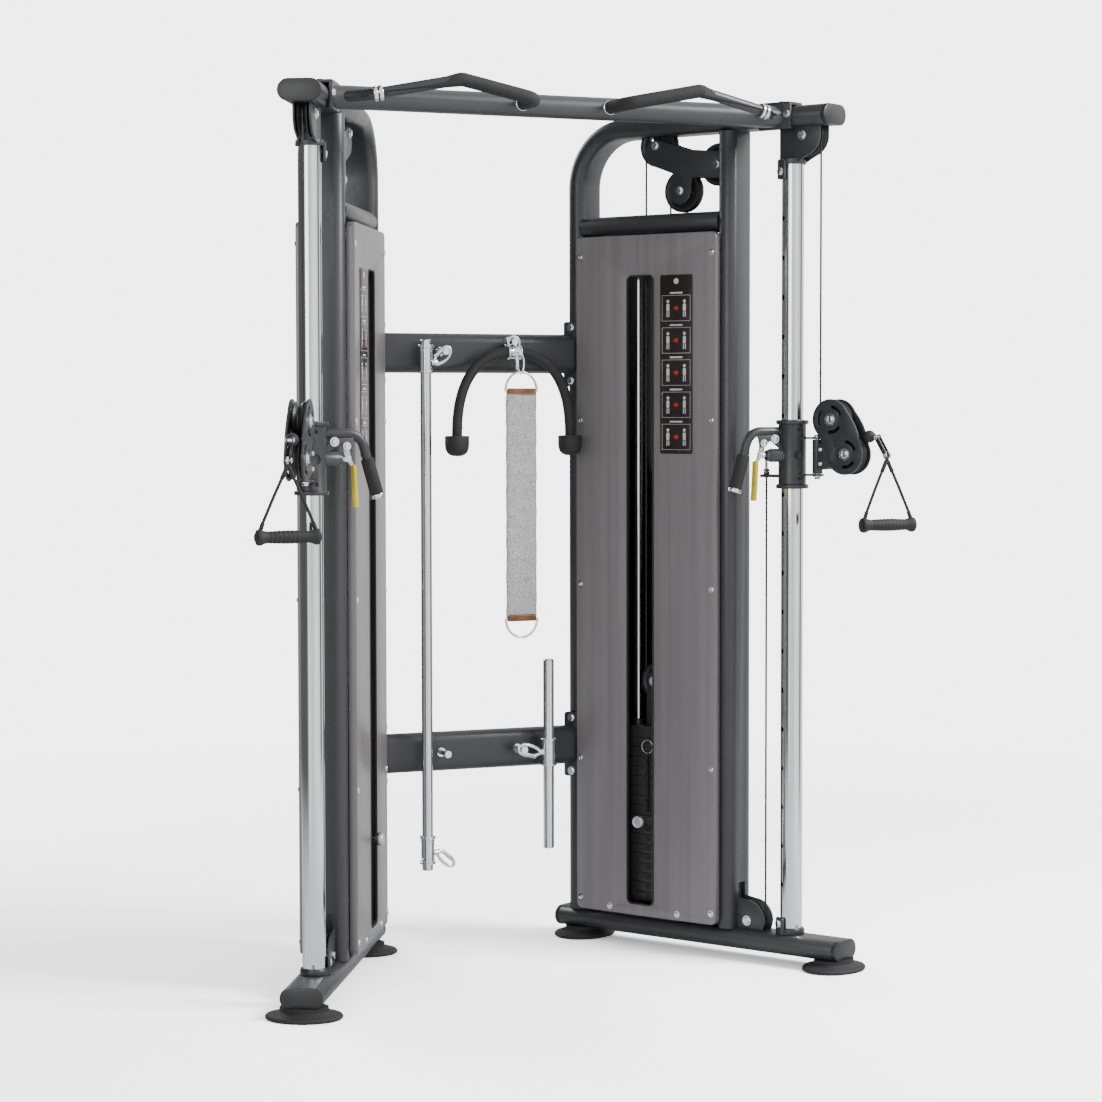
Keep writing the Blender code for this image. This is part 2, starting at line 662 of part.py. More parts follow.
# ---------------------------------------------------------------- carriage
def carriage(frame, mats):
    bore = SLEEVE_BORE
    low, high = SLEEVE_Z
    profile = [(bore, low), (FLANGE_R, low), (FLANGE_R, low + 0.009), (SLEEVE_R, low + 0.012),
               (SLEEVE_R, high - 0.012), (FLANGE_R, high - 0.009), (FLANGE_R, high), (bore, high)]
    sleeve = turned(profile, GUIDE_SIDES, (GUIDE_U, 0, 0))
    rotated(sleeve, SPLAY + pi / GUIDE_SIDES, (GUIDE_U, 0, 0))
    joins = [rod(at_guide(0.0315, PIN_Z), at_guide(0.0722, PIN_Z), 0.0165, 14)]
    path = rounded_path([at_guide(d, z) for d, z in GRIP_PATH], 0.040, 4)
    joins.append(sweep(path, circle((0, 0), 0.011, 10)))
    start = at_guide(0.1345, 1.2604)
    joins.append(rod(start, at_guide(0.1592, 1.1752), 0.0150, 12))
    gusset = prism_v([(0.079, 1.281), (0.100, 1.296), (0.100, 1.312), (0.070, 1.312),
                      (0.070, 1.292)], 0.0045, 0.0085)
    joins.append(turn_to_inside(gusset))
    joins.append(turn_to_inside(rod_fi(0.0085, -0.0065, LEVER_PIVOT, 0.0040)))
    joins.append(box((ANCHOR_U - 0.012, -0.013, ANCHOR_Z),
                     (GUIDE_U - SLEEVE_R + 0.003, 0.013, ANCHOR_Z + 0.007)))
    for z in HINGE_Z:
        ear = ([(GUIDE_U + SLEEVE_R - 0.004, -0.016)] + arc((HINGE_U, 0), 0.016, -90, 90, 4)
               + [(GUIDE_U + SLEEVE_R - 0.004, 0.016)])
        joins.append(prism(ear, z - 0.0025, z + 0.0025))
    joins.append(rod((HINGE_U, 0, HINGE_Z[0] - 0.010), (HINGE_U, 0, HINGE_Z[1] + 0.008), 0.0055, 8))
    bore_hole = rod(at_guide(0.020, PIN_Z), at_guide(0.080, PIN_Z), 0.0064, 12)
    front_holes = []
    for z, radius in ((1.3225, 0.005), (1.2600, 0.012), (1.2030, 0.005)):
        front_holes.append(rod(at_guide(0, z, 0.0295), at_guide(0, z, 0.045), radius, 8))
    frame.put("carriage", sleeve, mats["powder"], origin=(GUIDE_U, 0, PIN_Z),
              cuts=[bore_hole] + front_holes, joins=joins)


def turn_to_inside(bm):
    """Place a solid, made with its first axis away from the guide tube, to face inside."""
    for vert in bm.verts:
        distance, front, z = vert.co
        vert.co = Vector(at_guide(distance, z, front))
    return finish_mesh(bm)


def rod_fi(front, back, spot, radius):
    """A pin that runs fore and aft at a distance and height from the guide tube's axis."""
    return rod((spot[0], back, spot[1]), (spot[0], front, spot[1]), radius, 12)


def release_lever(frame, mats):
    pivot, tip = LEVER_PIVOT, LEVER_TIP
    grip_top = (0.1015, 1.243)
    bar = [(pivot[0] - 0.0075, pivot[1] - 0.004)] + arc(pivot, 0.0075, 170, 0, 6) \
        + [(0.0945, 1.262), (grip_top[0] + 0.005, grip_top[1]), (tip[0] + 0.005, tip[1] + 0.004),
           (tip[0] - 0.004, tip[1] + 0.004), (grip_top[0] - 0.006, grip_top[1] + 0.004),
           (0.0805, 1.262)]
    solid = prism([(z, d) for d, z in bar], -0.0025, 0.0025, "v")
    hole = rod((pivot[0], -0.01, pivot[1]), (pivot[0], 0.01, pivot[1]), 0.0044, 12)
    slot = prism([(z, d) for d, z in rectangle((0.0845, PIN_Z - 0.005), (0.0905, PIN_Z + 0.005))],
                 -0.01, 0.01, "v")
    shape = rectangle((-0.0075, -0.005), (0.0075, 0.005), 0.004, 2)
    top = Vector((grip_top[0], 0, grip_top[1]))
    end = Vector((tip[0], 0, tip[1]))
    grip = sweep([top, end], [(q, p) for p, q in shape])
    frame.put("release_lever", turn_to_inside(solid), mats["yellow"],
              origin=at_guide(pivot[0], pivot[1]),
              cuts=[turn_to_inside(hole), turn_to_inside(slot)], joins=[turn_to_inside(grip)])


def plunger(frame, mats):
    """The sprung index pin, drawn back from the guide tube, and the cross pin in the lever."""
    body = rod(at_guide(0.0278, PIN_Z), at_guide(0.0930, PIN_Z), 0.0050, 12)
    slit = box((0.0785, -0.0031, PIN_Z - 0.01), (0.1000, 0.0031, PIN_Z + 0.01))
    cross = rod((0.0875, -0.0046, PIN_Z), (0.0875, 0.0046, PIN_Z), 0.0024, 8)
    pin = frame.put("plunger", body, mats["chrome"], origin=at_guide(0, PIN_Z),
                    cuts=[turn_to_inside(slit)])
    frame.alter(pin, "UNION", [turn_to_inside(cross)], mats["chrome"], at_guide(0, PIN_Z))


def swivel_bracket(frame, mats):
    inner, outer = PLATE_V
    barrel_low = HINGE_Z[0] + 0.0025 + 0.0008
    barrel_high = HINGE_Z[1] - 0.0025 - 0.0008
    barrel = prism(circle((HINGE_U, 0), 0.0125, 14), barrel_low, barrel_high, "z",
                   circle((HINGE_U, 0), 0.0062, 14))
    joins = []
    block = box((HINGE_U + 0.0075, -inner - 0.001, 1.226), (HINGE_U + 0.036, inner + 0.001, 1.289))
    joins.append(block)
    for v in (inner, -outer):
        joins.append(prism_v(lobe_pair(SWIVEL_UP, SWIVEL_LOW, 0.0505, 7), v, v + outer - inner))
        joins.append(prism_v(rectangle((HINGE_U + 0.010, 1.2262), (0.800, 1.2888)), v + 0.0001,
                             v + outer - inner - 0.0001))
    for u, z in (SWIVEL_UP, SWIVEL_LOW):
        joins.append(rod((u, -inner - 0.001, z), (u, inner + 0.001, z), AXLE_R, 8))
    frame.put("swivel_bracket", barrel, mats["powder"], origin=(HINGE_U, 0, PIN_Z), joins=joins)


# ---------------------------------------------------------------- handle and cable
def ball_stop(frame, mats):
    """The cable's ball end with a shackle; its cross pin carries the handle's eye."""
    u, z = BALL
    ball = bmesh.new()
    bmesh.ops.create_uvsphere(ball, u_segments=10, v_segments=7, radius=BALL_R,
                              matrix=Matrix.Translation((u, 0, z)) @ Matrix.Rotation(pi / 2, 4, "Y"))
    neck = rod((u + 0.011, 0, z), (u + 0.024, 0, z), 0.0050, 10)
    root = (u + 0.022, z - 0.001)
    joins = [neck, rod((root[0], -0.0075, root[1]), (root[0], 0.0075, root[1]), 0.0048, 8),
             rod((LINK_END[0], -0.0075, LINK_END[1]), (LINK_END[0], 0.0075, LINK_END[1]), 0.0030, 8)]
    for near in (0.0055, -0.0080):
        joins.append(prism_v(lobe_pair(root, LINK_END, 0.0060, 5), near, near + 0.0025))
    frame.put("ball_stop", ball, mats["steel"], origin=(u, 0, z), joins=joins)


def closed_loop(corners, radius, sides=6):
    """A closed wire loop through the corners."""
    bm = bmesh.new()
    path = [Vector(c) for c in corners]
    count = len(path)
    normal = (path[1] - path[0]).cross(path[2] - path[1]).normalized()
    rings = []
    for i, point in enumerate(path):
        before = (point - path[i - 1]).normalized()
        after = (path[(i + 1) % count] - point).normalized()
        ahead = (before + after).normalized()
        outward = ahead.cross(normal)
        stretch = 1.0 / max(0.5, cos(before.angle(after) / 2))
        ring = []
        for p, q in circle((0, 0), radius, sides):
            ring.append(bm.verts.new(point + outward * p * stretch + normal * q))
        rings.append(ring)
    for i in range(count):
        here, there = rings[i], rings[(i + 1) % count]
        for s in range(sides):
            t = (s + 1) % sides
            bm.faces.new((here[s], here[t], there[t], there[s]))
    return finish_mesh(bm)


def d_handle(frame, mats):
    """A hand grip across the machine, hung from two webbing legs."""
    top = Vector((LINK_END[0], 0, LINK_END[1]))
    centre = Vector((LINK_END[0] + 0.003, 0, HANDLE_Z))
    across = Vector((*toward_inside(1.0), 0))
    matrix = Matrix.Translation(centre) @ across.to_track_quat("Z", "Y").to_matrix().to_4x4()
    half = HANDLE_HALF
    grip = lathe_solid([(0, -half), (0.0165, -half), (0.0185, -half + 0.008), (0.0155, -half + 0.016),
                        (0.0130, -half + 0.028), (0.0145, 0), (0.0130, half - 0.028),
                        (0.0155, half - 0.016), (0.0185, half - 0.008), (0.0165, half), (0, half)],
                       14, matrix)
    joins = []
    eye = top - Vector((0, 0, 0.008))
    for sign in (-1, 1):
        foot = centre + across * sign * (half - 0.009) + Vector((0, 0, 0.006))
        joins.append(sweep([eye, foot], circle((0, 0), 0.0042, 6)))
    spot = (LINK_END[1], LINK_END[0])
    joins.append(prism(circle(spot, 0.0105, 12), -0.0030, 0.0030, "v", circle(spot, 0.0045, 12)))
    frame.put("d_handle", grip, mats["rubber"], origin=top, joins=joins)


def tangent_over(first, second, radius):
    """Angle in degrees of the common tangent over the tops of two equal pulleys."""
    return atan2(second[1] - first[1], second[0] - first[0]) * 180 / pi + 90


def cable(frame, mats):
    """One cable: ball, swivel pulley, top beam, stack, inside the upright, base, carriage."""
    r = PULLEY_LINE
    route = [(BALL[0] - BALL_R - GAP, BALL[1])]
    route += arc(SWIVEL_UP, SWIVEL_LINE, -90, -180, 5)
    route += arc(FRONT_TOP, r, 0, 90, 5)
    route += arc(REAR_TOP, r, 90, 180, 5)
    float_line = (STACK_TOP[0] - REAR_TOP[0]) / 2
    route += arc(FLOATING, float_line, 180, 360, 8)
    over = tangent_over(STACK_TOP, UPRIGHT_TOP, r)
    route += arc(STACK_TOP, r, 180, over, 4)
    route += arc(UPRIGHT_TOP, r, over, 0, 5)
    route += arc(FRONT_BASE, r, 180, 360, 8)
    route.append((ANCHOR_U, ANCHOR_Z - GAP))
    frame.put("cable", sweep([(u, 0, z) for u, z in route], circle((0, 0), CABLE_R, 6)),
              mats["cable"])


# ---------------------------------------------------------------- shared pieces
def on_both_towers(make, spot):
    """A solid made with its second axis pointing inside, set on each tower's inner face."""
    solids = []
    for side in (-1, 1):
        solid = make()
        turn = Matrix.Rotation(-pi / 2 - SPLAY, 3, "Z")
        bmesh.ops.rotate(solid, verts=solid.verts, matrix=turn)
        bmesh.ops.translate(solid, verts=solid.verts, vec=(-spot[0], spot[1], 0))
        if side > 0:
            bmesh.ops.scale(solid, verts=solid.verts, vec=(-1, 1, 1))
            bmesh.ops.reverse_faces(solid, faces=solid.faces)
        solids.append(solid)
    return solids


def cross_beam(machine, mats, name, z, pegs):
    """A flat-oval beam between the rear uprights, with bolted end plates and storage pegs."""
    half = TUBE_W / 2
    tip_u, tip_v = U_REAR, TUBE_W / 2 + GAP
    face_x = TOWER_X + tip_u * sin(SPLAY) - tip_v * cos(SPLAY)
    face_y = TOWER_Y - tip_u * cos(SPLAY) - tip_v * sin(SPLAY)
    length = face_x - 0.006
    outer = [(x + BEAM_Y, y + z) for x, y in racetrack(TUBE_H / 2, half)]
    inner = [(x + BEAM_Y, y + z) for x, y in racetrack(TUBE_H / 2 - WALL, half - WALL)]
    beam = prism(outer, -length, length, "u", inner)
    joins = on_both_towers(lambda: box((-0.0235, 0, z - 0.083), (0.0235, 0.010, z + 0.083)),
                           (face_x, face_y))
    front = BEAM_Y - TUBE_H / 2
    for x, height in pegs:
        joins.append(rod((x, front + 0.002, height), (x, front - 0.050, height), 0.006, 12))
        joins.append(rod((x, front - 0.046, height), (x, front - 0.052, height), 0.0095, 12))
    trims = on_both_towers(lambda: box((-0.2, -0.05, z - 0.1), (0.2, 0.004, z + 0.1)),
                           (face_x, face_y))
    trimmed = machine.put(name, beam, mats["powder"], cuts=trims)
    machine.alter(trimmed, "UNION", joins, mats["powder"])


def pull_up_bar(machine, mats):
    """A straight bar bolted to the inner sides of the top beams, with two raised grips."""
    tip_v = TUBE_W / 2 + GAP
    drop = TOWER_Y - BAR_Y
    u_meet = (drop - tip_v * sin(SPLAY)) / cos(SPLAY)
    face_x = TOWER_X + u_meet * sin(SPLAY) - tip_v * cos(SPLAY)
    bar = rod((-face_x - 0.020, BAR_Y, BAR_Z), (face_x + 0.020, BAR_Y, BAR_Z), BAR_R, 16)
    spot = (face_x, BAR_Y)
    top = TOP_Z + TUBE_H / 2 + GAP
    joins = on_both_towers(lambda: box((-0.046, 0, TOP_Z - 0.033), (0.046, 0.008, top + 0.008)), spot)
    joins += on_both_towers(lambda: box((-0.0455, -0.052, top), (0.0455, 0.0075, top + 0.0077)), spot)
    trims = on_both_towers(lambda: box((-0.2, -0.06, TOP_Z - 0.1), (0.2, 0, top - GAP / 2)), spot)
    for side in (-1, 1):
        corners = [(side * 0.112, BAR_Y - 0.020, 2.084), (side * 0.112, BAR_Y - 0.118, 2.084),
                   (side * 0.300, BAR_Y - 0.124, 2.121), (side * 0.500, BAR_Y - 0.083, 2.083),
                   (side * 0.545, BAR_Y - 0.010, 2.083)]
        joins.append(sweep(rounded_path(corners, 0.028, 3), circle((0, 0), 0.0150, 8)))
    machine.put("pull_up_bar", bar, mats["powder"], cuts=trims, joins=joins)


def carabiner(anchor, reach, width, radius=0.0038):
    """A spring hook drawn as one closed loop across the machine, in the hanging plane."""
    a, b = Vector(anchor), Vector(reach)
    along = (b - a).normalized()
    side = Vector((-along.z, 0, along.x)) * width / 2
    points = [a - along * 0.004 + side * 0.5, a + along * 0.012 + side, b - along * 0.012 + side,
              b + along * 0.004 + side * 0.5, b + along * 0.004 - side * 0.5, b - along * 0.012 - side,
              a + along * 0.012 - side, a - along * 0.004 - side * 0.5]
    return closed_loop(points, radius)


def long_bar(machine, mats):
    x, low, high = -0.166, 0.218, 1.548
    bar = rod((x, HANG_Y, low), (x, HANG_Y, high), 0.0140, 12)
    joins = []
    for z in (0.266, 1.500):
        joins.append(rod((x, HANG_Y, z - 0.036), (x, HANG_Y, z + 0.036), 0.0175, 12))
        joins.append(rod((x, HANG_Y, z - 0.008), (x + 0.030, HANG_Y, z - 0.008), 0.0075, 8))
    joins.append(carabiner((x + 0.028, HANG_Y, 1.492), (-0.1045, HANG_Y, 1.5245), 0.030))
    joins.append(carabiner((x + 0.028, HANG_Y, 0.258), (x + 0.066, HANG_Y, 0.226), 0.024))
    machine.put("long_bar", bar, mats["chrome"], origin=(-0.114, HANG_Y, 1.519), joins=joins)


def short_bar(machine, mats):
    x, low, high = 0.166, 0.250, 0.736
    bar = rod((x, HANG_Y, low), (x, HANG_Y, high), 0.0140, 12)
    joins = [rod((x, HANG_Y, 0.462), (x, HANG_Y, 0.534), 0.0175, 12),
             rod((x, HANG_Y, 0.498), (x - 0.030, HANG_Y, 0.498), 0.0075, 8),
             carabiner((x - 0.028, HANG_Y, 0.498), (0.0865, HANG_Y, 0.509), 0.029)]
    machine.put("short_bar", bar, mats["chrome"], origin=(0.096, HANG_Y, 0.506), joins=joins)


def triceps_bar(machine, mats):
    x, apex, leg, radius = 0.072, 1.512, 1.300, 0.155
    points = [(x - radius, leg)] + arc((x, apex - radius), radius, 180, 0, 10) + [(x + radius, leg)]
    bar = sweep([(px, HANG_Y, pz) for px, pz in points], circle((0, 0), 0.0130, 8))
    joins = []
    for side in (-1, 1):
        spot = Matrix.Translation((x + side * radius, HANG_Y, leg - 0.044))
        joins.append(lathe_solid([(0, 0), (0.024, 0), (0.031, 0.007), (0.031, 0.040), (0.024, 0.049),
                                  (0.012, 0.053), (0, 0.053)], 12, spot))
    ring = [(x + 0.0155 * cos(a), HANG_Y, apex + 0.030 + 0.0155 * sin(a))
            for a in (2 * pi * s / 10 for s in range(10))]
    joins.append(closed_loop(ring, 0.0045))
    machine.put("triceps_bar", bar, mats["rubber"], origin=(x, HANG_Y, apex + 0.034), joins=joins)


def strap(machine, mats):
    """A padded pulling strap with leather ends and two end rings, hung on its own hook."""
    x, y = 0.080, HANG_Y - 0.028
    low, high, half = 0.842, 1.423, 0.042
    band = box((x - half, y - 0.004, low), (x + half, y + 0.004, high))
    joins = []
    for z, way in ((high - 0.004, 1), (low + 0.004, -1)):
        ring = [(x - half + 0.004, y, z)]
        ring += [(x - (half - 0.004) * cos(a), y, z + way * 0.046 * sin(a))
                 for a in (pi * s / 8 for s in range(1, 8))]
        ring.append((x + half - 0.004, y, z))
        joins.append(closed_loop(ring, 0.0032))
    joins.append(carabiner((x, y, high + 0.052), (x - 0.004, y, high + 0.090), 0.020, 0.0032))
    machine.put("pull_strap", band, mats["fleece"], origin=(x, y, high + 0.092), joins=joins)


# ---------------------------------------------------------------- build
def build():
    clear_scene()
    mats = make_materials()
    for frame in tower_frames():
        base_beam(frame, mats)
        main_upright(frame, mats)
        arch_tube(frame, mats)
        guide_tube(frame, mats)
        shroud(frame, mats, "inner_shroud", 1, True)
        shroud(frame, mats, "outer_shroud", -1, False)
        weight_stack(frame, mats)
        guide_rods(frame, mats)
        pulleys(frame, mats)
        pulley_plates(frame, mats)
        carriage(frame, mats)
        release_lever(frame, mats)
        plunger(frame, mats)
        swivel_bracket(frame, mats)
        ball_stop(frame, mats)
        d_handle(frame, mats)
        cable(frame, mats)
    machine = Frame("machine", "", (0, 0, 0), 0, False)
    cross_beam(machine, mats, "lower_cross_beam", BEAM_Z[0], [(-0.113, 0.506), (0.096, 0.506)])
    cross_beam(machine, mats, "upper_cross_beam", BEAM_Z[1], [(-0.114, 1.519), (0.072, 1.545)])
    pull_up_bar(machine, mats)
    long_bar(machine, mats)
    short_bar(machine, mats)
    triceps_bar(machine, mats)
    strap(machine, mats)


build()
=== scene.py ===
"""Looks of the functional trainer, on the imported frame. Metres, +Z up, front at -Y.

Each tower is built in its own plane: u runs from the rear upright to the front, v points to
the inside of the machine. Pieces on a carriage are built in the carriage's own axes: d points
straight across to the machine's middle, f to its front.
"""
from math import atan2, copysign, cos, degrees, pi, radians, sin, sqrt, tan
import bmesh
import bpy
from mathutils import Matrix, Vector

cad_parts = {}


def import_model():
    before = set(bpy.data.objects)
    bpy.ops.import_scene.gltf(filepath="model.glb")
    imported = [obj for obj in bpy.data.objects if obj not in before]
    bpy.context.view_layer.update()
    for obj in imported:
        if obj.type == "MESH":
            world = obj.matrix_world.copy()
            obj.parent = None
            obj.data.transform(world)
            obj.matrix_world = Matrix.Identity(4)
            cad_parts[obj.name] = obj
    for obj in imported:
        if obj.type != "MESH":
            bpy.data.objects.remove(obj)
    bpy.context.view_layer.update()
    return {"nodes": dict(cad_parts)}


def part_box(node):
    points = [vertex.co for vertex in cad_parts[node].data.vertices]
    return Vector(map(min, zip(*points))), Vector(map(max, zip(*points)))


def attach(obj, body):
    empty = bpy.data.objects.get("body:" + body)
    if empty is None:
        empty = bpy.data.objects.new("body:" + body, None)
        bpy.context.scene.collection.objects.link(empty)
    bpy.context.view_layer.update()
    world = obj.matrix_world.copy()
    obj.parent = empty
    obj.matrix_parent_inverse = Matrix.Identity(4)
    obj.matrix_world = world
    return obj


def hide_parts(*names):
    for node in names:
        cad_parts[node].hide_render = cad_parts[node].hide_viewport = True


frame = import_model()

# ---- dimensions, as in the CAD
TUBE_W, TUBE_H = 0.1, 0.05       # flat-oval frame tube
BASE_Z, TOP_Z, RAIL_Z = 0.05, 2.085, 1.8405
BEND_R = 0.1425
U_REAR, U_MAIN, U_STACK, U_GUIDE = 0.019, 0.484, 0.2527, 0.655
U_BASE, U_TOP_END = (-0.045, 0.813), 0.776
FOOT_U = (0.017, 0.779)
GUIDE_R = 0.027
INDEX_PITCH, PIN_Z = 0.0965, 1.26
SHROUD_U, SHROUD_Z = (0.044, 0.476), (0.0835, 1.8126)
SHROUD_V = (0.0506, 0.07)
SLOT_U, SLOT_Z = (0.203, 0.287), (0.111, 1.7115)
PLATE, PLATES_DOWN, PLATES_UP = 0.0247, 8, 9
STACK_Z = 0.117
ROD_OFF = 0.062
CHEEK_IN, CHEEK_OUT = 0.0165, 0.0215   # faces of the plates beside a fixed pulley
PULLEY_LINE, SWIVEL_LINE = 0.0415, 0.0405
CABLE_R = 0.0025
FRONT_TOP, REAR_TOP = (0.694, 2.0385), (0.2564, 2.0385)
STACK_TOP, UPRIGHT_TOP = (0.332, 1.9215), (0.442, 1.982)
FRONT_BASE, FLOATING = (0.5385, 0.0966), (0.2527, 0.68)
SWIVEL_UP, SWIVEL_LOW = (0.7762, 1.3475), (0.8166, 1.2635)
HINGE_U, HINGE_Z = 0.7277, (1.2122, 1.3025)
SLEEVE_Z, SLEEVE_R, FLANGE_R = (1.1785, 1.3465), 0.034, 0.04
BALL, BALL_R = (0.8743, 1.307), 0.015
LINK_END = (0.923, 1.262)
HANDLE_Z, HANDLE_HALF = 1.095, 0.073
LEVER_PIVOT = (0.083, 1.2897)
LEVER_TIP = (0.1068, 1.147)
EDGE = 0.0008                       # usual bevel on a cut or moulded edge


# ---- materials
def new_material(name, colour, roughness, metallic=0.0):
    mat = bpy.data.materials.new(name)
    mat.use_nodes = True
    shader = mat.node_tree.nodes["Principled BSDF"]
    shader.inputs["Base Color"].default_value = (*colour, 1.0)
    shader.inputs["Roughness"].default_value = roughness
    shader.inputs["Metallic"].default_value = metallic
    return mat, mat.node_tree, shader


def node(tree, kind, **settings):
    made = tree.nodes.new(kind)
    for key, value in settings.items():
        if key in made.inputs:
            made.inputs[key].default_value = value
        else:
            setattr(made, key, value)
    return made


def noise(tree, scale, stretch=(1, 1, 1), detail=4.0):
    """A noise texture in object coordinates, finer along some axes than others."""
    place = node(tree, "ShaderNodeTexCoord")
    mapping = node(tree, "ShaderNodeMapping")
    mapping.inputs["Scale"].default_value = stretch
    texture = node(tree, "ShaderNodeTexNoise", Scale=scale, Detail=detail)
    tree.links.new(place.outputs["Object"], mapping.inputs["Vector"])
    tree.links.new(mapping.outputs["Vector"], texture.inputs["Vector"])
    return texture.outputs["Fac"]


def ramp(tree, source, low, high, start=0.35, end=0.65):
    made = node(tree, "ShaderNodeValToRGB")
    made.color_ramp.elements[0].position = start
    made.color_ramp.elements[1].position = end
    made.color_ramp.elements[0].color = (*low, 1.0)
    made.color_ramp.elements[1].color = (*high, 1.0)
    tree.links.new(source, made.inputs["Fac"])
    return made.outputs["Color"]


def in_range(tree, source, start, end, low=0.0, high=1.0, **settings):
    made = node(tree, "ShaderNodeMapRange", **settings)
    for socket, value in zip(("From Min", "From Max", "To Min", "To Max"), (start, end, low, high)):
        made.inputs[socket].default_value = value
    tree.links.new(source, made.inputs["Value"])
    return made.outputs["Result"]


def spread(tree, source, low, high):
    """The middle of a noise, spread over a range."""
    return in_range(tree, source, 0.3, 0.7, low, high)


def mixed(tree, factor, first, second):
    """A mix of two colours, each a socket or a value."""
    made = node(tree, "ShaderNodeMix", data_type="RGBA")
    tree.links.new(factor, made.inputs["Factor"])
    for index, colour in ((6, first), (7, second)):
        if isinstance(colour, tuple):
            made.inputs[index].default_value = (*colour, 1.0)
        else:
            tree.links.new(colour, made.inputs[index])
    return made.outputs[2]


def cells(tree, scale):
    """Distance to the middle of the nearest cell, in object coordinates."""
    made = node(tree, "ShaderNodeTexVoronoi", Scale=scale)
    place = node(tree, "ShaderNodeTexCoord")
    tree.links.new(place.outputs["Object"], made.inputs["Vector"])
    return made.outputs["Distance"]


def bump(tree, source, shader, distance, strength=0.5):
    made = node(tree, "ShaderNodeBump", Distance=distance, Strength=strength)
    tree.links.new(source, made.inputs["Height"])
    tree.links.new(made.outputs["Normal"], shader.inputs["Normal"])


def shade(colour, factor):
    return tuple(channel * factor for channel in colour)


def powder_coat(name="powder_coat", colour=(0.028, 0.029, 0.031)):
    """Satin paint with orange peel, a soft tone drift and a lighter colour on sharply convex edges."""
    mat, tree, shader = new_material(name, colour, 0.4)
    drift = noise(tree, 5.0)
    body = ramp(tree, drift, shade(colour, 0.86), shade(colour, 1.16))
    geometry = node(tree, "ShaderNodeNewGeometry")
    edge = ramp(tree, geometry.outputs["Pointiness"], (0, 0, 0), (1, 1, 1), 0.53, 0.6)
    tree.links.new(mixed(tree, edge, body, shade(colour, 2.0)), shader.inputs["Base Color"])
    tree.links.new(spread(tree, noise(tree, 60.0), 0.34, 0.46), shader.inputs["Roughness"])
    bump(tree, noise(tree, 900.0, detail=2.0), shader, 0.0002, 0.25)
    shader.inputs["Coat Weight"].default_value = 0.15
    shader.inputs["Coat Roughness"].default_value = 0.25
    return mat


def chrome_plate():
    mat, tree, shader = new_material("chrome", (0.8, 0.81, 0.82), 0.08, 1.0)
    smear = noise(tree, 14.0, (1, 1, 0.15))
    tree.links.new(spread(tree, smear, 0.05, 0.13), shader.inputs["Roughness"])
    tree.links.new(ramp(tree, smear, (0.74, 0.75, 0.76), (0.86, 0.87, 0.88)),
              shader.inputs["Base Color"])
    return mat


def zinc_steel(name="zinc_steel", colour=(0.52, 0.52, 0.53)):
    mat, tree, shader = new_material(name, colour, 0.28, 1.0)
    grain = noise(tree, 240.0)
    tree.links.new(spread(tree, grain, 0.2, 0.38), shader.inputs["Roughness"])
    bump(tree, grain, shader, 0.0001, 0.2)
    return mat


def sheet_metal():
    """Mid-grey shroud paint with faint upright streaks."""
    colour = (0.215, 0.206, 0.21)
    mat, tree, shader = new_material("shroud_grey", colour, 0.38, 0.25)
    streaks = noise(tree, 30.0, (1.6, 1.6, 0.035), 6.0)
    tree.links.new(ramp(tree, streaks, shade(colour, 0.93), shade(colour, 1.07)),
              shader.inputs["Base Color"])
    tree.links.new(spread(tree, streaks, 0.34, 0.42), shader.inputs["Roughness"])
    bump(tree, noise(tree, 500.0), shader, 0.0001, 0.15)
    return mat


def moulded(name, colour, roughness, grain=350.0, depth=0.0003):
    """Moulded nylon, rubber or foam: one colour with a fine skin."""
    mat, tree, shader = new_material(name, colour, roughness)
    skin = noise(tree, grain, detail=3.0)
    tree.links.new(ramp(tree, noise(tree, 9.0), shade(colour, 0.8), shade(colour, 1.25)),
              shader.inputs["Base Color"])
    tree.links.new(spread(tree, skin, roughness - 0.08, roughness + 0.08),
              shader.inputs["Roughness"])
    bump(tree, skin, shader, depth, 0.5)
    return mat


def fleece():
    """Pale speckled pile."""
    mat, tree, shader = new_material("fleece", (0.6, 0.6, 0.59), 0.95)
    pile = noise(tree, 420.0, detail=6.0)
    tree.links.new(ramp(tree, pile, (0.3, 0.3, 0.3), (0.8, 0.8, 0.79), 0.38, 0.56),
              shader.inputs["Base Color"])
    shader.inputs["Sheen Weight"].default_value = 0.6
    bump(tree, pile, shader, 0.002, 0.9)
    return mat


def leather():
    mat, tree, shader = new_material("brown_leather", (0.26, 0.11, 0.035), 0.55)
    tree.links.new(ramp(tree, noise(tree, 40.0), (0.17, 0.07, 0.022), (0.33, 0.15, 0.05)),
              shader.inputs["Base Color"])
    bump(tree, cells(tree, 500.0), shader, 0.0006, 0.5)
    return mat


def knurl():
    """Diamond knurling for bar grips and the selector knob."""
    mat, tree, shader = new_material("knurled_chrome", (0.7, 0.71, 0.72), 0.22, 1.0)
    bump(tree, cells(tree, 900.0), shader, 0.0006, 0.6)
    return mat


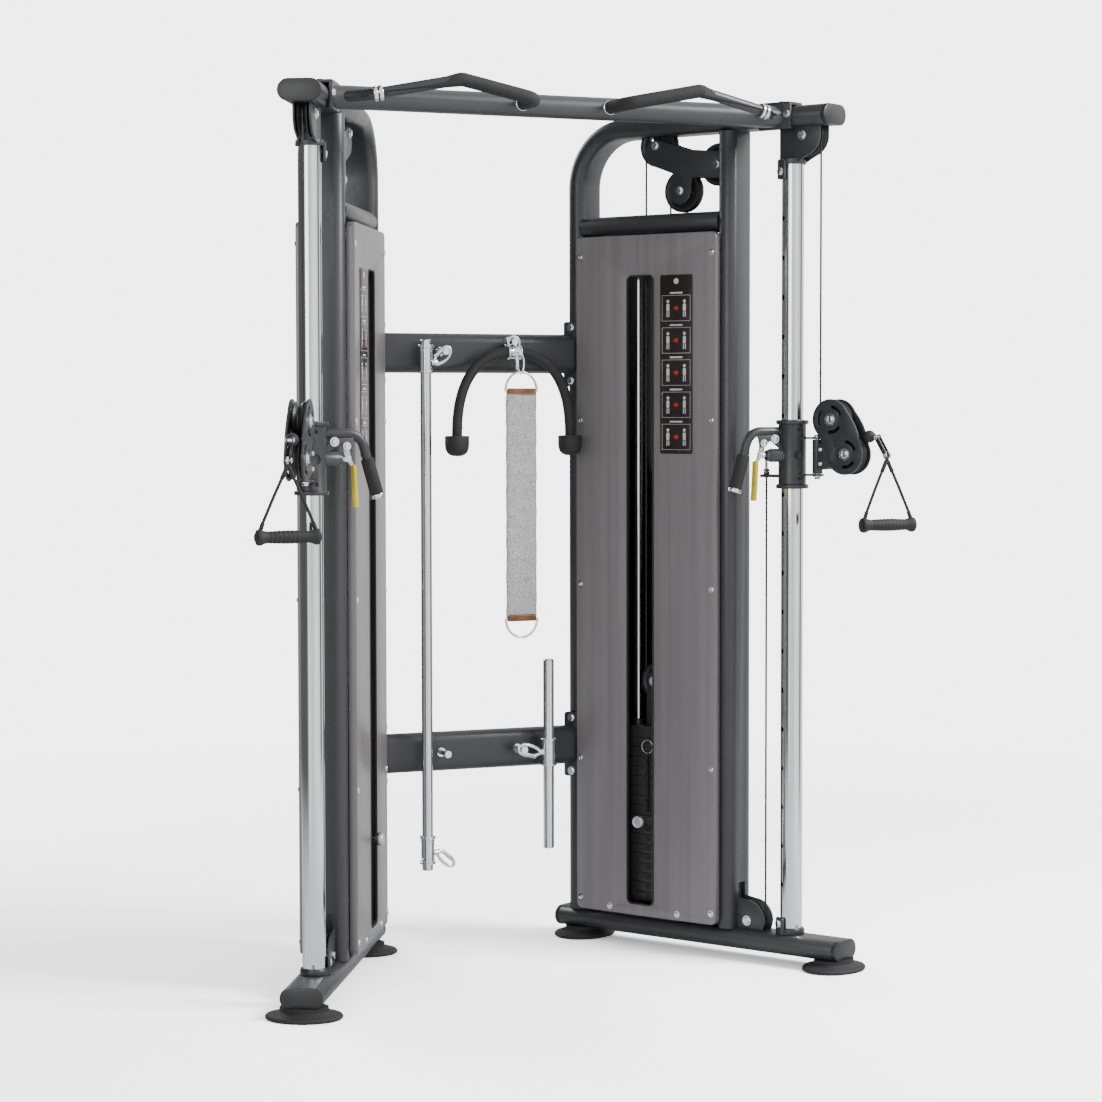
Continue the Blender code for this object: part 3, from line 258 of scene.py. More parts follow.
MATS = {
    "coat": powder_coat(),
    "chrome": chrome_plate(),
    "steel": zinc_steel(),
    "dark_steel": zinc_steel("dark_steel", (0.1, 0.1, 0.105)),
    "shroud": sheet_metal(),
    "stack": powder_coat("stack_paint", (0.013, 0.013, 0.014)),
    "nylon": moulded("pulley_nylon", (0.014, 0.014, 0.015), 0.42),
    "plastic": moulded("black_plastic", (0.02, 0.02, 0.021), 0.38),
    "rubber": moulded("rubber", (0.016, 0.016, 0.017), 0.7, 600.0, 0.0005),
    "foam": moulded("foam_grip", (0.02, 0.02, 0.021), 0.82, 800.0, 0.0008),
    "cable": moulded("cable_sheath", (0.012, 0.012, 0.012), 0.3, 200.0),
    "yellow": moulded("yellow_vinyl", (0.8, 0.62, 0.01), 0.35),
    "webbing": moulded("black_cord", (0.018, 0.018, 0.019), 0.8, 1200.0, 0.0008),
    "placard": moulded("placard_ground", (0.016, 0.01, 0.009), 0.3),
    "ink_white": moulded("placard_white", (0.62, 0.62, 0.6), 0.4),
    "ink_red": moulded("placard_red", (0.5, 0.018, 0.014), 0.4),
    # painted shade: near-black for the dark inside of the stack plates' pin holes
    "painted_hole_shade": moulded("deep_black", (0.004, 0.004, 0.004), 0.6),
    "fleece": fleece(),
    "leather": leather(),
    "knurl": knurl(),
}


# ---- outlines and paths
def polar(centre, radius, angle):
    """The point at an angle in degrees round a centre."""
    return (centre[0] + radius * cos(radians(angle)), centre[1] + radius * sin(radians(angle)))


def arc(centre, radius, start, end, steps):
    """Points on an arc, angles in degrees, both ends included."""
    return [polar(centre, radius, start + (end - start) * step / steps) for step in range(steps + 1)]


def circle(centre, radius, sides=32):
    return arc(centre, radius, 0, 360 * (sides - 1) / sides, sides - 1)


def racetrack(half_x, half_y, steps=14):
    radius = min(half_x, half_y)
    if half_x > half_y:
        return (arc((half_x - radius, 0), radius, -90, 90, steps)
                + arc((radius - half_x, 0), radius, 90, 270, steps))
    return (arc((0, half_y - radius), radius, 0, 180, steps)
            + arc((0, radius - half_y), radius, 180, 360, steps))


def rectangle(low, high, radius=0.0, steps=8):
    if radius == 0.0:
        return [(low[0], low[1]), (high[0], low[1]), (high[0], high[1]), (low[0], high[1])]
    return (arc((high[0] - radius, low[1] + radius), radius, -90, 0, steps)
            + arc((high[0] - radius, high[1] - radius), radius, 0, 90, steps)
            + arc((low[0] + radius, high[1] - radius), radius, 90, 180, steps)
            + arc((low[0] + radius, low[1] + radius), radius, 180, 270, steps))


def belt(first, second, radius, steps=20):
    """Outline around two equal circles."""
    angle = atan2(second[1] - first[1], second[0] - first[0]) * 180 / pi
    return (arc(second, radius, angle - 90, angle + 90, steps)
            + arc(first, radius, angle + 90, angle + 270, steps))


def rounded_path(corners, radius, steps=10):
    """A polyline in space with each inner corner replaced by an arc."""
    points = [Vector(corners[0])]
    for before, corner, after in zip(corners, corners[1:], corners[2:]):
        corner = Vector(corner)
        back = (Vector(before) - corner).normalized()
        ahead = (Vector(after) - corner).normalized()
        half = back.angle(ahead) / 2
        centre = corner + (back + ahead).normalized() * radius / sin(half)
        start = corner + back * radius / tan(half) - centre
        end = corner + ahead * radius / tan(half) - centre
        turn = start.angle(end)
        for step in range(steps + 1):
            part = step / steps
            points.append(centre + (start * sin((1 - part) * turn) + end * sin(part * turn))
                          / sin(turn))
    points.append(Vector(corners[-1]))
    return points


# ---- solids
PLANES = {
    "x": (Vector((0, 1, 0)), Vector((0, 0, 1)), Vector((1, 0, 0))),
    "y": (Vector((1, 0, 0)), Vector((0, 0, 1)), Vector((0, 1, 0))),
    "z": (Vector((1, 0, 0)), Vector((0, 1, 0)), Vector((0, 0, 1))),
}


def prism(outline, low, high, axis="z", holes=()):
    """Extrude an outline, with holes, between two levels of an axis."""
    first, second, third = PLANES[axis]
    bm = bmesh.new()
    edges = []
    for points in (outline, *holes):
        verts = [bm.verts.new(first * p + second * q + third * low) for p, q in points]
        edges += [bm.edges.new((verts[i - 1], verts[i])) for i in range(len(verts))]
    if holes:
        bmesh.ops.triangle_fill(bm, use_beauty=True, edges=edges)
    else:
        bm.faces.new(bm.verts)
    raised = bmesh.ops.extrude_face_region(bm, geom=list(bm.faces))
    moved = [item for item in raised["geom"] if isinstance(item, bmesh.types.BMVert)]
    bmesh.ops.translate(bm, verts=moved, vec=third * (high - low))
    return bm


def box(low, high):
    return prism(rectangle(low[:2], high[:2]), low[2], high[2])


def sweep(path, outline, closed=False):
    """Sweep an outline along a path, with mitred bends."""
    bm = bmesh.new()
    path = [Vector(p) for p in path]
    count = len(path)
    side = None
    rings = []
    for i, point in enumerate(path):
        before = point - path[i - 1] if i or closed else path[1] - point
        after = path[(i + 1) % count] - point if i < count - 1 or closed else before
        before, after = before.normalized(), after.normalized()
        ahead = (before + after).normalized()
        if side is None:
            side = Vector((0, 1, 0)) if abs(ahead.y) < 0.9 else Vector((0, 0, 1))
        side = (side - ahead * side.dot(ahead)).normalized()
        other = side.cross(ahead)
        turn = after - before
        stretch = 1.0 / max(0.35, cos(before.angle(after, 0.0) / 2))
        ring = []
        for p, q in outline:
            offset = other * p + side * q
            if turn.length > 1e-6:
                bend = turn.normalized()
                offset += bend * offset.dot(bend) * (stretch - 1.0)
            ring.append(bm.verts.new(point + offset))
        rings.append(ring)
    pairs = list(zip(rings, rings[1:])) + ([(rings[-1], rings[0])] if closed else [])
    around = len(outline)
    for lower, upper in pairs:
        for i in range(around):
            j = (i + 1) % around
            bm.faces.new((lower[i], lower[j], upper[j], upper[i]))
    if not closed:
        bm.faces.new(rings[0])
        bm.faces.new(rings[-1])
    return bm


def wire(path, radius, sides, closed=False):
    return sweep(path, circle((0, 0), radius, sides), closed)


def rod(start, end, radius, sides=32):
    return wire([start, end], radius, sides)


def wire_ring(centre, radius, thickness, sides):
    """A ring of round wire, standing in the xz plane."""
    x, y, z = centre
    return wire([(p, y, q) for p, q in circle((x, z), radius, 40)], thickness, sides, True)


def plate_pair(outline, inner, outer, holes=()):
    """Two equal plates, one on each side of the tower's plane."""
    return [prism(outline, v, v + outer - inner, "y", holes=holes) for v in (inner, -outer)]


def turning(direction, spot):
    """A placement that puts +Z along a direction, at a spot."""
    turn = Vector(direction).to_track_quat("Z", "Y").to_matrix().to_4x4()
    return Matrix.Translation(spot) @ turn


def lathe(profile, sides=48, direction=(0, 0, 1), spot=(0, 0, 0)):
    """Turn (radius, height) points about an axis. A profile that leaves the axis is a ring."""
    bm = bmesh.new()
    rings = []
    for radius, height in profile:
        if radius < 1e-7:
            rings.append([bm.verts.new((0, 0, height))])
        else:
            rings.append([bm.verts.new((radius * x, radius * y, height))
                          for x, y in circle((0, 0), 1.0, sides)])
    pairs = list(zip(rings, rings[1:]))
    if len(rings[0]) > 1 and len(rings[-1]) > 1:
        pairs.append((rings[-1], rings[0]))
    for lower, upper in pairs:
        for s in range(sides):
            t = (s + 1) % sides
            face = [lower[s % len(lower)], lower[t % len(lower)],
                    upper[t % len(upper)], upper[s % len(upper)]]
            bm.faces.new(list(dict.fromkeys(face)))
    bmesh.ops.transform(bm, matrix=turning(direction, spot), verts=bm.verts)
    return bm


def joined(*solids):
    total = bmesh.new()
    scratch = bpy.data.meshes.new("scratch")
    for solid in solids:
        solid.to_mesh(scratch)
        total.from_mesh(scratch)
        solid.free()
    bpy.data.meshes.remove(scratch)
    return total


def bolt(spot, direction, radius=0.008, height=0.0055):
    """A domed cap screw with a hex socket, over a washer."""
    washer = [(0, 0), (radius * 1.35, 0), (radius * 1.4, 0.0004), (radius * 1.35, 0.0016), (0, 0.0016)]
    head = [(0, 0.001), (radius, 0.001), (radius, height * 0.55), (radius * 0.86, height * 0.88),
            (radius * 0.52, height), (radius * 0.46, height)]
    socket = [(radius * 0.46, height * 0.5), (0, height * 0.5)]
    return joined(lathe(washer, 28, direction, spot), lathe(head + socket, 28, direction, spot))


def hex_bolt(spot, direction, radius=0.0095, height=0.006):
    """A hexagon head over a washer."""
    head = [(0, 0.0015), (radius * 0.94, 0.0015), (radius, 0.0025), (radius, height - 0.001),
            (radius * 0.9, height), (0, height)]
    washer = [(0, 0), (radius * 1.3, 0), (radius * 1.3, 0.0016), (0, 0.0016)]
    return joined(lathe(head, 6, direction, spot), lathe(washer, 28, direction, spot))


def axle_heads(spots, reach, make=hex_bolt, **sizes):
    """A head on each side of the tower's plane, at each spot."""
    return joined(*(make((u, side * reach, z), (0, side, 0), **sizes) for u, z in spots
                    for side in (1, -1)))


# ---- pieces
IDENTITY = Matrix.Identity(4)


def piece(name, bm, material, body, slot, place=IDENTITY, bevel=EDGE, cuts=(), replaces=(),
          smooth=35):
    """Make a piece of a solid given in some place's axes, cut it, and let it ride on a body."""
    obj = solid_object(name, bm, place, smooth)
    obj.data.materials.append(MATS[material])
    for index, cutter in enumerate(cuts):
        tool = solid_object(f"{name}_cutter_{index}", cutter, place, smooth)
        change = obj.modifiers.new(f"cut_{index}", "BOOLEAN")
        change.object = tool
        change.operation = "DIFFERENCE"
        change.solver = "EXACT"
        bake(obj, smooth)
        bpy.data.objects.remove(tool, do_unlink=True)
    if bevel:
        rounding = obj.modifiers.new("edges", "BEVEL")
        rounding.width = bevel
        rounding.segments = 2
        rounding.limit_method = "ANGLE"
        rounding.angle_limit = radians(smooth)
        bake(obj, smooth)
    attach(obj, body)
    if replaces:
        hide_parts(*replaces)
    return obj


def solid_object(name, bm, place, smooth):
    bmesh.ops.transform(bm, matrix=place, verts=bm.verts)
    bmesh.ops.recalc_face_normals(bm, faces=bm.faces)
    mesh = bpy.data.meshes.new(name)
    bm.to_mesh(mesh)
    bm.free()
    mesh.shade_smooth()
    mesh.set_sharp_from_angle(angle=radians(smooth))
    obj = bpy.data.objects.new(name, mesh)
    bpy.context.scene.collection.objects.link(obj)
    return obj


def bake(obj, smooth):
    """Turn an object's modifiers into its mesh."""
    depsgraph = bpy.context.evaluated_depsgraph_get()
    mesh = bpy.data.meshes.new_from_object(obj.evaluated_get(depsgraph))
    obj.modifiers.clear()
    obj.data = mesh
    mesh.shade_smooth()
    mesh.set_sharp_from_angle(angle=radians(smooth))


def middle(name):
    low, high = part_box(name)
    return (low + high) / 2


class Tower:
    """One tower's name, and the placements of its plane and of its carriage."""

    def __init__(self, name, side):
        self.name = name
        self.side = side
        guide = middle(f"guide_tube_{name}")
        stack = middle(f"weight_stack_rest_{name}")
        along = Vector((guide.x - stack.x, guide.y - stack.y, 0)).normalized()
        across = Vector((side * along.y, -side * along.x, 0))
        start = Vector((guide.x, guide.y, 0)) - along * U_GUIDE
        self.plane = placement(along, across, start)
        self.carriage = placement(Vector((-side, 0, 0)), Vector((0, -1, 0)),
                                  Vector((guide.x, guide.y, 0)))

    def piece(self, name, bm, material, slot, body="frame", place=None, replaces=(), **options):
        """A piece of this tower; a body that isn't the frame is this tower's own."""
        rides = body if body == "frame" else f"{body}_{self.name}"
        stands_for = [f"{cad}_{self.name}" for cad in replaces]
        return piece(f"{name}_{self.name}", bm, material, rides, slot, place or self.plane,
                     replaces=stands_for, **options)


def placement(first, second, spot):
    matrix = Matrix.Identity(4)
    for row in range(3):
        matrix[row][0], matrix[row][1] = first[row], second[row]
        matrix[row][3] = spot[row]
    return matrix


# ---- frame
def oval_beam(low, high, height):
    """A flat-oval tube along u, lying flat."""
    outline = [(v, z + height) for v, z in racetrack(TUBE_W / 2, TUBE_H / 2)]
    return prism(outline, low, high, "x")


def frame_tubes(tower):
    tower.piece("base_tube", oval_beam(U_BASE[0] + 0.012, U_BASE[1] - 0.012, BASE_Z), "coat",
                "frame_coat", replaces=["base_beam"])
    upright = [(U_MAIN + u, v) for u, v in racetrack(TUBE_H / 2, TUBE_W / 2)]
    low, high = BASE_Z + TUBE_H / 2 - 0.001, TOP_Z - TUBE_H / 2 + 0.001
    window = box((U_MAIN + 0.015, -0.0145, low - 0.01), (U_MAIN + 0.03, 0.0145, 0.188))
    tower.piece("upright_tube", prism(upright, low, high), "coat", "frame_coat",
                cuts=[window], replaces=["main_upright"])
    tower.piece("rail_tube", oval_beam(U_REAR + 0.02, U_MAIN - 0.02, RAIL_Z), "coat", "frame_coat")
    path = rounded_path([(U_REAR, 0, low), (U_REAR, 0, TOP_Z), (U_TOP_END - 0.012, 0, TOP_Z)],
                        BEND_R, 28)
    tower.piece("arch_sweep", sweep(path, racetrack(TUBE_H / 2, TUBE_W / 2)), "coat", "frame_coat",
                replaces=["arch_tube"])
    for name, start, end, height in (("base_front_cap", U_BASE[1] - 0.0125, U_BASE[1], BASE_Z),
                                     ("base_rear_cap", U_BASE[0], U_BASE[0] + 0.0125, BASE_Z),
                                     ("top_front_cap", U_TOP_END - 0.0125, U_TOP_END, TOP_Z)):
        outline = [(v, z + height) for v, z in racetrack(TUBE_W / 2 + 0.0006, TUBE_H / 2 + 0.0006)]
        tower.piece(name, prism(outline, start, end, "x"), "plastic", "frame_coat", bevel=0.0035)


def feet(tower):
    """Stepped oval pads: wide thin flange, shoulder and post."""
    profile = [(0, 0), (0.085, 0), (0.089, 0.003), (0.089, 0.007), (0.086, 0.01), (0.075, 0.0115),
               (0.072, 0.014), (0.06, 0.016), (0.056, 0.019), (0.056, 0.027), (0, 0.027)]
    for name, u in zip(("rear", "front"), FOOT_U):
        pad = lathe(profile, 72)
        bmesh.ops.scale(pad, vec=(0.82, 1, 1), verts=pad.verts)
        bmesh.ops.translate(pad, vec=(u, 0, 0), verts=pad.verts)
        tower.piece(f"{name}_foot", pad, "rubber", "frame_coat", bevel=0)


def cheeks(tower, name, outline, centre):
    """The two plates of a front bracket, with the axle's bolt heads."""
    for number, plate in enumerate(plate_pair(outline, CHEEK_IN, CHEEK_OUT)):
        tower.piece(f"{name}_cheek_{number}", plate, "coat", "frame_coat")
    tower.piece(f"{name}_axle_bolts", axle_heads([centre], CHEEK_OUT), "chrome", "frame_coat", bevel=0)


def brackets(tower):
    low = BASE_Z + TUBE_H / 2
    u, z = FRONT_BASE
    base = ([(U_MAIN + 0.02, low), (u + 0.046, low)] + arc((u, z), 0.0515, 0, 90, 16)
            + [(U_MAIN + 0.02, z + 0.0575)])
    cheeks(tower, "base_bracket", base, FRONT_BASE)
    under = TOP_Z - TUBE_H / 2
    u, z = FRONT_TOP
    top = ([(0.63, under + 0.002), (0.63, 1.982), (0.64, 1.972), (0.676, 1.972)]
           + arc((u, z), 0.0515, -74, 0, 16) + [(u + 0.0515, under + 0.002)])
    cheeks(tower, "top_bracket", top, FRONT_TOP)
    seat = prism(circle((U_GUIDE, 0), 0.033, 40), 1.9705, 1.984)
    tower.piece("guide_seat", seat, "coat", "frame_coat")
    for name, ear_low, ear_high, bolt_z in (("base", low - 0.003, 0.1165, 0.101),
                                            ("top", 1.934, 1.983, 1.953)):
        ear = prism(rectangle((-0.0165, ear_low), (0.0165, ear_high), 0.006, 5), 0.0283, 0.0345, "x")
        tower.piece(f"{name}_guide_ear", ear, "coat", "frame_coat", place=tower.carriage)
        head = hex_bolt((0.0345, 0, bolt_z), (1, 0, 0))
        tower.piece(f"{name}_guide_bolt", head, "chrome", "frame_coat", place=tower.carriage, bevel=0)
    collar = lathe([(GUIDE_R, low), (0.0335, low), (0.0335, low + 0.01), (0.0305, low + 0.016),
                    (GUIDE_R, low + 0.016)], 48)
    tower.piece("base_guide_collar", collar, "plastic", "frame_coat", place=tower.carriage)


def guide(tower):
    """The chrome tube with its column of index holes."""
    low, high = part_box(f"guide_tube_{tower.name}")
    tube = lathe([(0.024, low.z), (GUIDE_R, low.z), (GUIDE_R, high.z), (0.024, high.z)], 64)
    holes = [rod((0.018, 0, PIN_Z + step * INDEX_PITCH), (0.035, 0, PIN_Z + step * INDEX_PITCH),
                 0.0065, 20) for step in range(-11, 7)]
    tower.piece("guide_tube_chrome", tube, "chrome", "chrome", place=tower.carriage, bevel=0,
                cuts=[joined(*holes)], replaces=["guide_tube"])


# ---- shrouds
SCREW_ROWS = (0.112, 0.475, 0.925, 1.345, 1.762)


def shroud(tower, name, cad, side, slotted):
    back, face = side * SHROUD_V[0], side * SHROUD_V[1]
    low, high = (SHROUD_U[0], SHROUD_Z[0]), (SHROUD_U[1], SHROUD_Z[1])
    tray = prism(rectangle(low, high, 0.016), min(back, face), max(back, face), "y")
    sheet = 0.0025
    inside = rectangle((low[0] + sheet, low[1] + sheet), (high[0] - sheet, high[1] - sheet), 0.0135)
    levels = sorted((back - side * 0.01, face - side * sheet))
    cuts = [prism(inside, *levels, "y")]
    slot = rectangle((SLOT_U[0], SLOT_Z[0]), (SLOT_U[1], SLOT_Z[1]), 0.016, 10)
    if slotted:
        cuts.append(prism(slot, 0.055, 0.085, "y"))
    tower.piece(name, tray, "shroud", "shroud", bevel=0.0014, cuts=cuts, replaces=[cad])
    screws = [bolt((u, face, z), (0, side, 0), 0.0062, 0.004)
              for u in (SHROUD_U[0] + 0.013, SHROUD_U[1] - 0.013) for z in SCREW_ROWS]
    screws += [bolt((u, face, SHROUD_Z[0] + 0.016), (0, side, 0), 0.0062, 0.004) for u in (0.15, 0.36)]
    tower.piece(f"{name}_screws", joined(*screws), "chrome", "shroud", bevel=0)
    if not slotted:
        return
    inner = rectangle((SLOT_U[0] + 0.0035, SLOT_Z[0] + 0.0035),
                      (SLOT_U[1] - 0.0035, SLOT_Z[1] - 0.0035), 0.0125, 10)
    edging = prism(slot, 0.0655, 0.0718, "y", holes=[inner])
    tower.piece("slot_edging", edging, "rubber", "shroud", bevel=0.001)
    for number, u in enumerate((SLOT_U[0] - 0.012, SLOT_U[1] + 0.006)):
        wall = box((u, 0.0475, SLOT_Z[0] + 0.005), (u + 0.006, 0.067, SLOT_Z[1] - 0.03))
        tower.piece(f"slot_wall_{number}", wall, "plastic", "shroud", bevel=0.0004)


ARROW = ((-0.007, 0.004), (0.001, 0.004), (0.001, 0.008), (0.008, 0), (0.001, -0.008),
         (0.001, -0.004), (-0.007, -0.004))


def placard(tower):
    """A dark instruction plate with five generic panels."""
    u0, u1, z0, z1 = 0.308, 0.406, 1.262, 1.709
    mid = (u0 + u1) / 2
    face = SHROUD_V[1]
    plate = prism(rectangle((u0, z0), (u1, z1), 0.004, 4), face + 0.0002, face + 0.0014, "y")
    tower.piece("placard", plate, "placard", "shroud", bevel=0.0003)

    def ink(outline, holes=()):
        return prism(outline, face + 0.0014, face + 0.0017, "y", holes=holes)

    pitch = (z1 - z0 - 0.045) / 5
    white, red = [ink(circle((mid, z1 - 0.016), 0.0075, 24))], []
    for row in range(5):
        low = z0 + 0.01 + row * pitch
        high = low + pitch - 0.016
        border = rectangle((u0 + 0.0068, low + 0.0008), (u1 - 0.0068, high - 0.0008))
        white.append(ink(rectangle((u0 + 0.006, low), (u1 - 0.006, high)), [border]))
        white.append(ink(rectangle((u0 + 0.03, high + 0.004), (u1 - 0.03, high + 0.008))))
        z = (low + high) / 2
        for u in (u0 + 0.024, u1 - 0.024):
            white.append(ink(circle((u, z + 0.017), 0.0042, 16)))
            white.append(ink(rectangle((u - 0.0045, z - 0.008), (u + 0.0045, z + 0.011), 0.003, 3)))
            for foot in (u - 0.0028, u + 0.0028):
                white.append(ink(rectangle((foot - 0.0014, z - 0.022), (foot + 0.0014, z - 0.009))))
        red.append(ink([(mid + du, z + dz) for du, dz in ARROW]))
    tower.piece("placard_figures", joined(*white), "ink_white", "shroud", bevel=0)
    tower.piece("placard_arrows", joined(*red), "ink_red", "shroud", bevel=0)


# ---- weight stack
ROD_U = (U_STACK - ROD_OFF, U_STACK + ROD_OFF)
ROD_BORES = [circle((u, 0), 0.0108, 20) for u in ROD_U]


def stack_outline(half_u=0.1, half_v=0.045, radius=0.006, steps=5):
    return rectangle((U_STACK - half_u, -half_v), (U_STACK + half_u, half_v), radius, steps)


def on_rods(profile, sides):
    """A turned solid on each of the two guide rods."""
    return joined(*(lathe(profile, sides, spot=(u, 0, 0)) for u in ROD_U))


def plates(low, count):
    """Separate steel plates with a hair gap and two rod bores each."""
    gap = 0.0006
    levels = [low + index * PLATE for index in range(count)]
    return joined(*(prism(stack_outline(), z + gap, z + PLATE - gap, holes=ROD_BORES)
                    for z in levels))


def weight_stack(tower):
    split = STACK_Z + PLATES_DOWN * PLATE
    top = split + PLATES_UP * PLATE
    tower.piece("resting_plates", plates(STACK_Z, PLATES_DOWN), "stack", "stack", bevel=0.0009,
                replaces=["weight_stack_rest"])
    tower.piece("lifted_plates", plates(split, PLATES_UP), "stack", "stack", "lifted_stack",
                bevel=0.0009, replaces=["weight_stack_lifted"])
    for name, first, count, body in (("resting", 0, PLATES_DOWN, "frame"),
                                     ("lifted", PLATES_DOWN + 1, PLATES_UP - 1, "lifted_stack")):
        # Thin near-black discs on the plates' front face: painted shade standing in for the dark inside
        # of each selector pin hole.
        holes = [lathe([(0, 0), (0.005, 0), (0.0066, 0.0006), (0, 0.0006)], 20, (0, 1, 0),
                       (U_STACK, 0.045, STACK_Z + (index + 0.5) * PLATE))
                 for index in range(first, first + count)]
        tower.piece(f"{name}_pin_holes", joined(*holes), "painted_hole_shade", "stack", body, bevel=0)
    head = prism(stack_outline(radius=0.008, steps=6), top + 0.0006, top + 0.03, holes=ROD_BORES)
    tower.piece("head_plate", head, "stack", "stack", "lifted_stack", bevel=0.002)
    bush = [(0.01, top + 0.012), (0.017, top + 0.012), (0.017, top + 0.04),
            (0.015, top + 0.043), (0.01, top + 0.043)]
    tower.piece("head_bushes", on_rods(bush, 36), "nylon", "stack", "lifted_stack")
    yoke_outline = rectangle((U_STACK - 0.022, top + 0.026), (U_STACK + 0.022, FLOATING[1] + 0.02),
                             0.01, 6)
    yokes = plate_pair(yoke_outline, CHEEK_IN, CHEEK_OUT)
    tower.piece("floating_yoke", joined(*yokes), "coat", "stack", "lifted_stack")
    tower.piece("floating_axle_bolts", axle_heads([FLOATING], CHEEK_OUT), "chrome", "stack",
                "lifted_stack", bevel=0)
    stem = rod((U_STACK, 0, STACK_Z + 0.008), (U_STACK, 0, top + 0.03), 0.0115, 24)
    tower.piece("selector_stem", stem, "chrome", "stack", "lifted_stack", bevel=0)
    pin_z = split + 0.0004 + PLATE / 2
    pin = rod((U_STACK, -0.012, pin_z), (U_STACK, 0.076, pin_z), 0.0047, 24)
    knob = lathe([(0, 0), (0.009, 0), (0.011, 0.004), (0.015, 0.007), (0.016, 0.01),
                  (0.016, 0.018), (0.0145, 0.021), (0.012, 0.0215), (0.011, 0.0205),
                  (0, 0.0205)], 48, (0, 1, 0), (U_STACK, 0.074, pin_z))
    tower.piece("selector_shaft", pin, "chrome", "chrome", "selector_pin", bevel=0,
                replaces=["selector_pin"])
    tower.piece("selector_knob", knob, "knurl", "chrome", "selector_pin", bevel=0)
    ring_z = top - 0.022
    ring = wire_ring((U_STACK, 0.049, ring_z), 0.0165, 0.0014, 10)
    tower.piece("lanyard_ring", ring, "steel", "stack", "lifted_stack", bevel=0)
    turns, steps = 34, 10
    low_z, high_z = pin_z + 0.024, ring_z - 0.0165
    count = turns * steps
    coil = [(*polar((U_STACK, 0.049), 0.0032, 360 * step / steps),
             low_z + (high_z - low_z) * step / count) for step in range(count + 1)]
    tower.piece("lanyard_coil", wire(coil, 0.001, 6), "plastic", "stack", "lifted_stack", bevel=0)


def guide_rods(tower):
    low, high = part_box(f"guide_rods_{tower.name}")
    base = prism(stack_outline(0.095, 0.043), low.z, low.z + 0.01)
    tower.piece("rod_base", base, "coat", "chrome", replaces=["guide_rods"])
    rods = [rod((u, 0, low.z), (u, 0, high.z), 0.0095, 32) for u in ROD_U]
    tower.piece("guide_rod_pair", joined(*rods), "chrome", "chrome", bevel=0)
    buffer = [(0.0097, low.z + 0.01), (0.019, low.z + 0.01), (0.0205, low.z + 0.018),
              (0.0205, STACK_Z - 0.008), (0.0185, STACK_Z - 0.001), (0.0097, STACK_Z - 0.001)]
    tower.piece("stack_buffers", on_rods(buffer, 40), "rubber", "stack")


# ---- pulleys and cable
def pulley_profile(radius, line):
    """Half section of a moulded wheel: hub, thin web with a step, rim and rounded groove."""
    root = line - CABLE_R - 0.0006
    half = 0.0115
    groove = [(root + CABLE_R * 0.9 * (1 - cos(radians(a))), CABLE_R * sin(radians(a)) * 1.05)
              for a in (60, 30, 0, -30, -60)]
    side = [(0.0063, half), (0.015, half), (0.016, half - 0.003), (0.0175, half - 0.0055),
            (radius - 0.0155, half - 0.0055), (radius - 0.014, half - 0.003),
            (radius - 0.0105, half - 0.0008), (radius - 0.003, half), (radius - 0.0008, half - 0.0004),
            (radius, half - 0.0022)]
    return side + groove + [(r, -h) for r, h in reversed(side)]


def pulleys(tower):
    for cad in frame["nodes"]:
        if "_pulley" not in cad or not cad.endswith(tower.name):
            continue
        name = cad[:-len(tower.name) - 1]
        low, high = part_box(cad)
        radius = (high.z - low.z) / 2
        line = radius - (0.0115 if radius > 0.05 else 0.005 if name.startswith("swivel") else 0.0082)
        wheel = lathe(pulley_profile(radius, line), 72, tower.plane.to_3x3() @ Vector((0, 1, 0)),
                      middle(cad))
        across = tower.plane.to_3x3() @ Vector((0, 0.02, 0))
        holes = []
        for u, z in circle((0, 0), radius * 0.5, 5):
            spot = middle(cad) + tower.plane.to_3x3() @ Vector((u, 0, z))
            holes.append(rod(spot - across, spot + across, radius * 0.13, 18))
        tower.piece(f"{name}_wheel", wheel, "nylon", "pulley_nylon", name, place=IDENTITY,
                    bevel=0, cuts=[joined(*holes)], replaces=[name])


def three_arms(hub, ends, radius):
    """A star of round-ended arms with hollowed flanks."""
    turns = [atan2(z - hub[1], u - hub[0]) * 180 / pi % 360 for u, z in ends]
    outline = []
    for index, end in enumerate(ends):
        here = turns[index]
        ahead = (turns[(index + 1) % 3] - here) % 360
        outline += arc(end, radius, here - 90, here + 75, 16)
        outline.append(polar(hub, 0.04, here + ahead / 2))
    return outline


def pulley_plates(tower):
    ends = ((UPRIGHT_TOP[0] - 0.004, UPRIGHT_TOP[1]), (REAR_TOP[0] + 0.002, REAR_TOP[1] - 0.02),
            (STACK_TOP[0], STACK_TOP[1]))
    outline = three_arms((0.345, 1.985), ends, 0.034)
    outer = 0.0205
    for number, plate in enumerate(plate_pair(outline, CHEEK_IN, outer)):
        tower.piece(f"pulley_plate_{number}", plate, "coat", "frame_coat",
                    replaces=["pulley_plates"] if number == 0 else ())
    heads = axle_heads((REAR_TOP, UPRIGHT_TOP, STACK_TOP), outer, radius=0.0088)
    tower.piece("pulley_plate_bolts", heads, "chrome", "frame_coat", bevel=0)


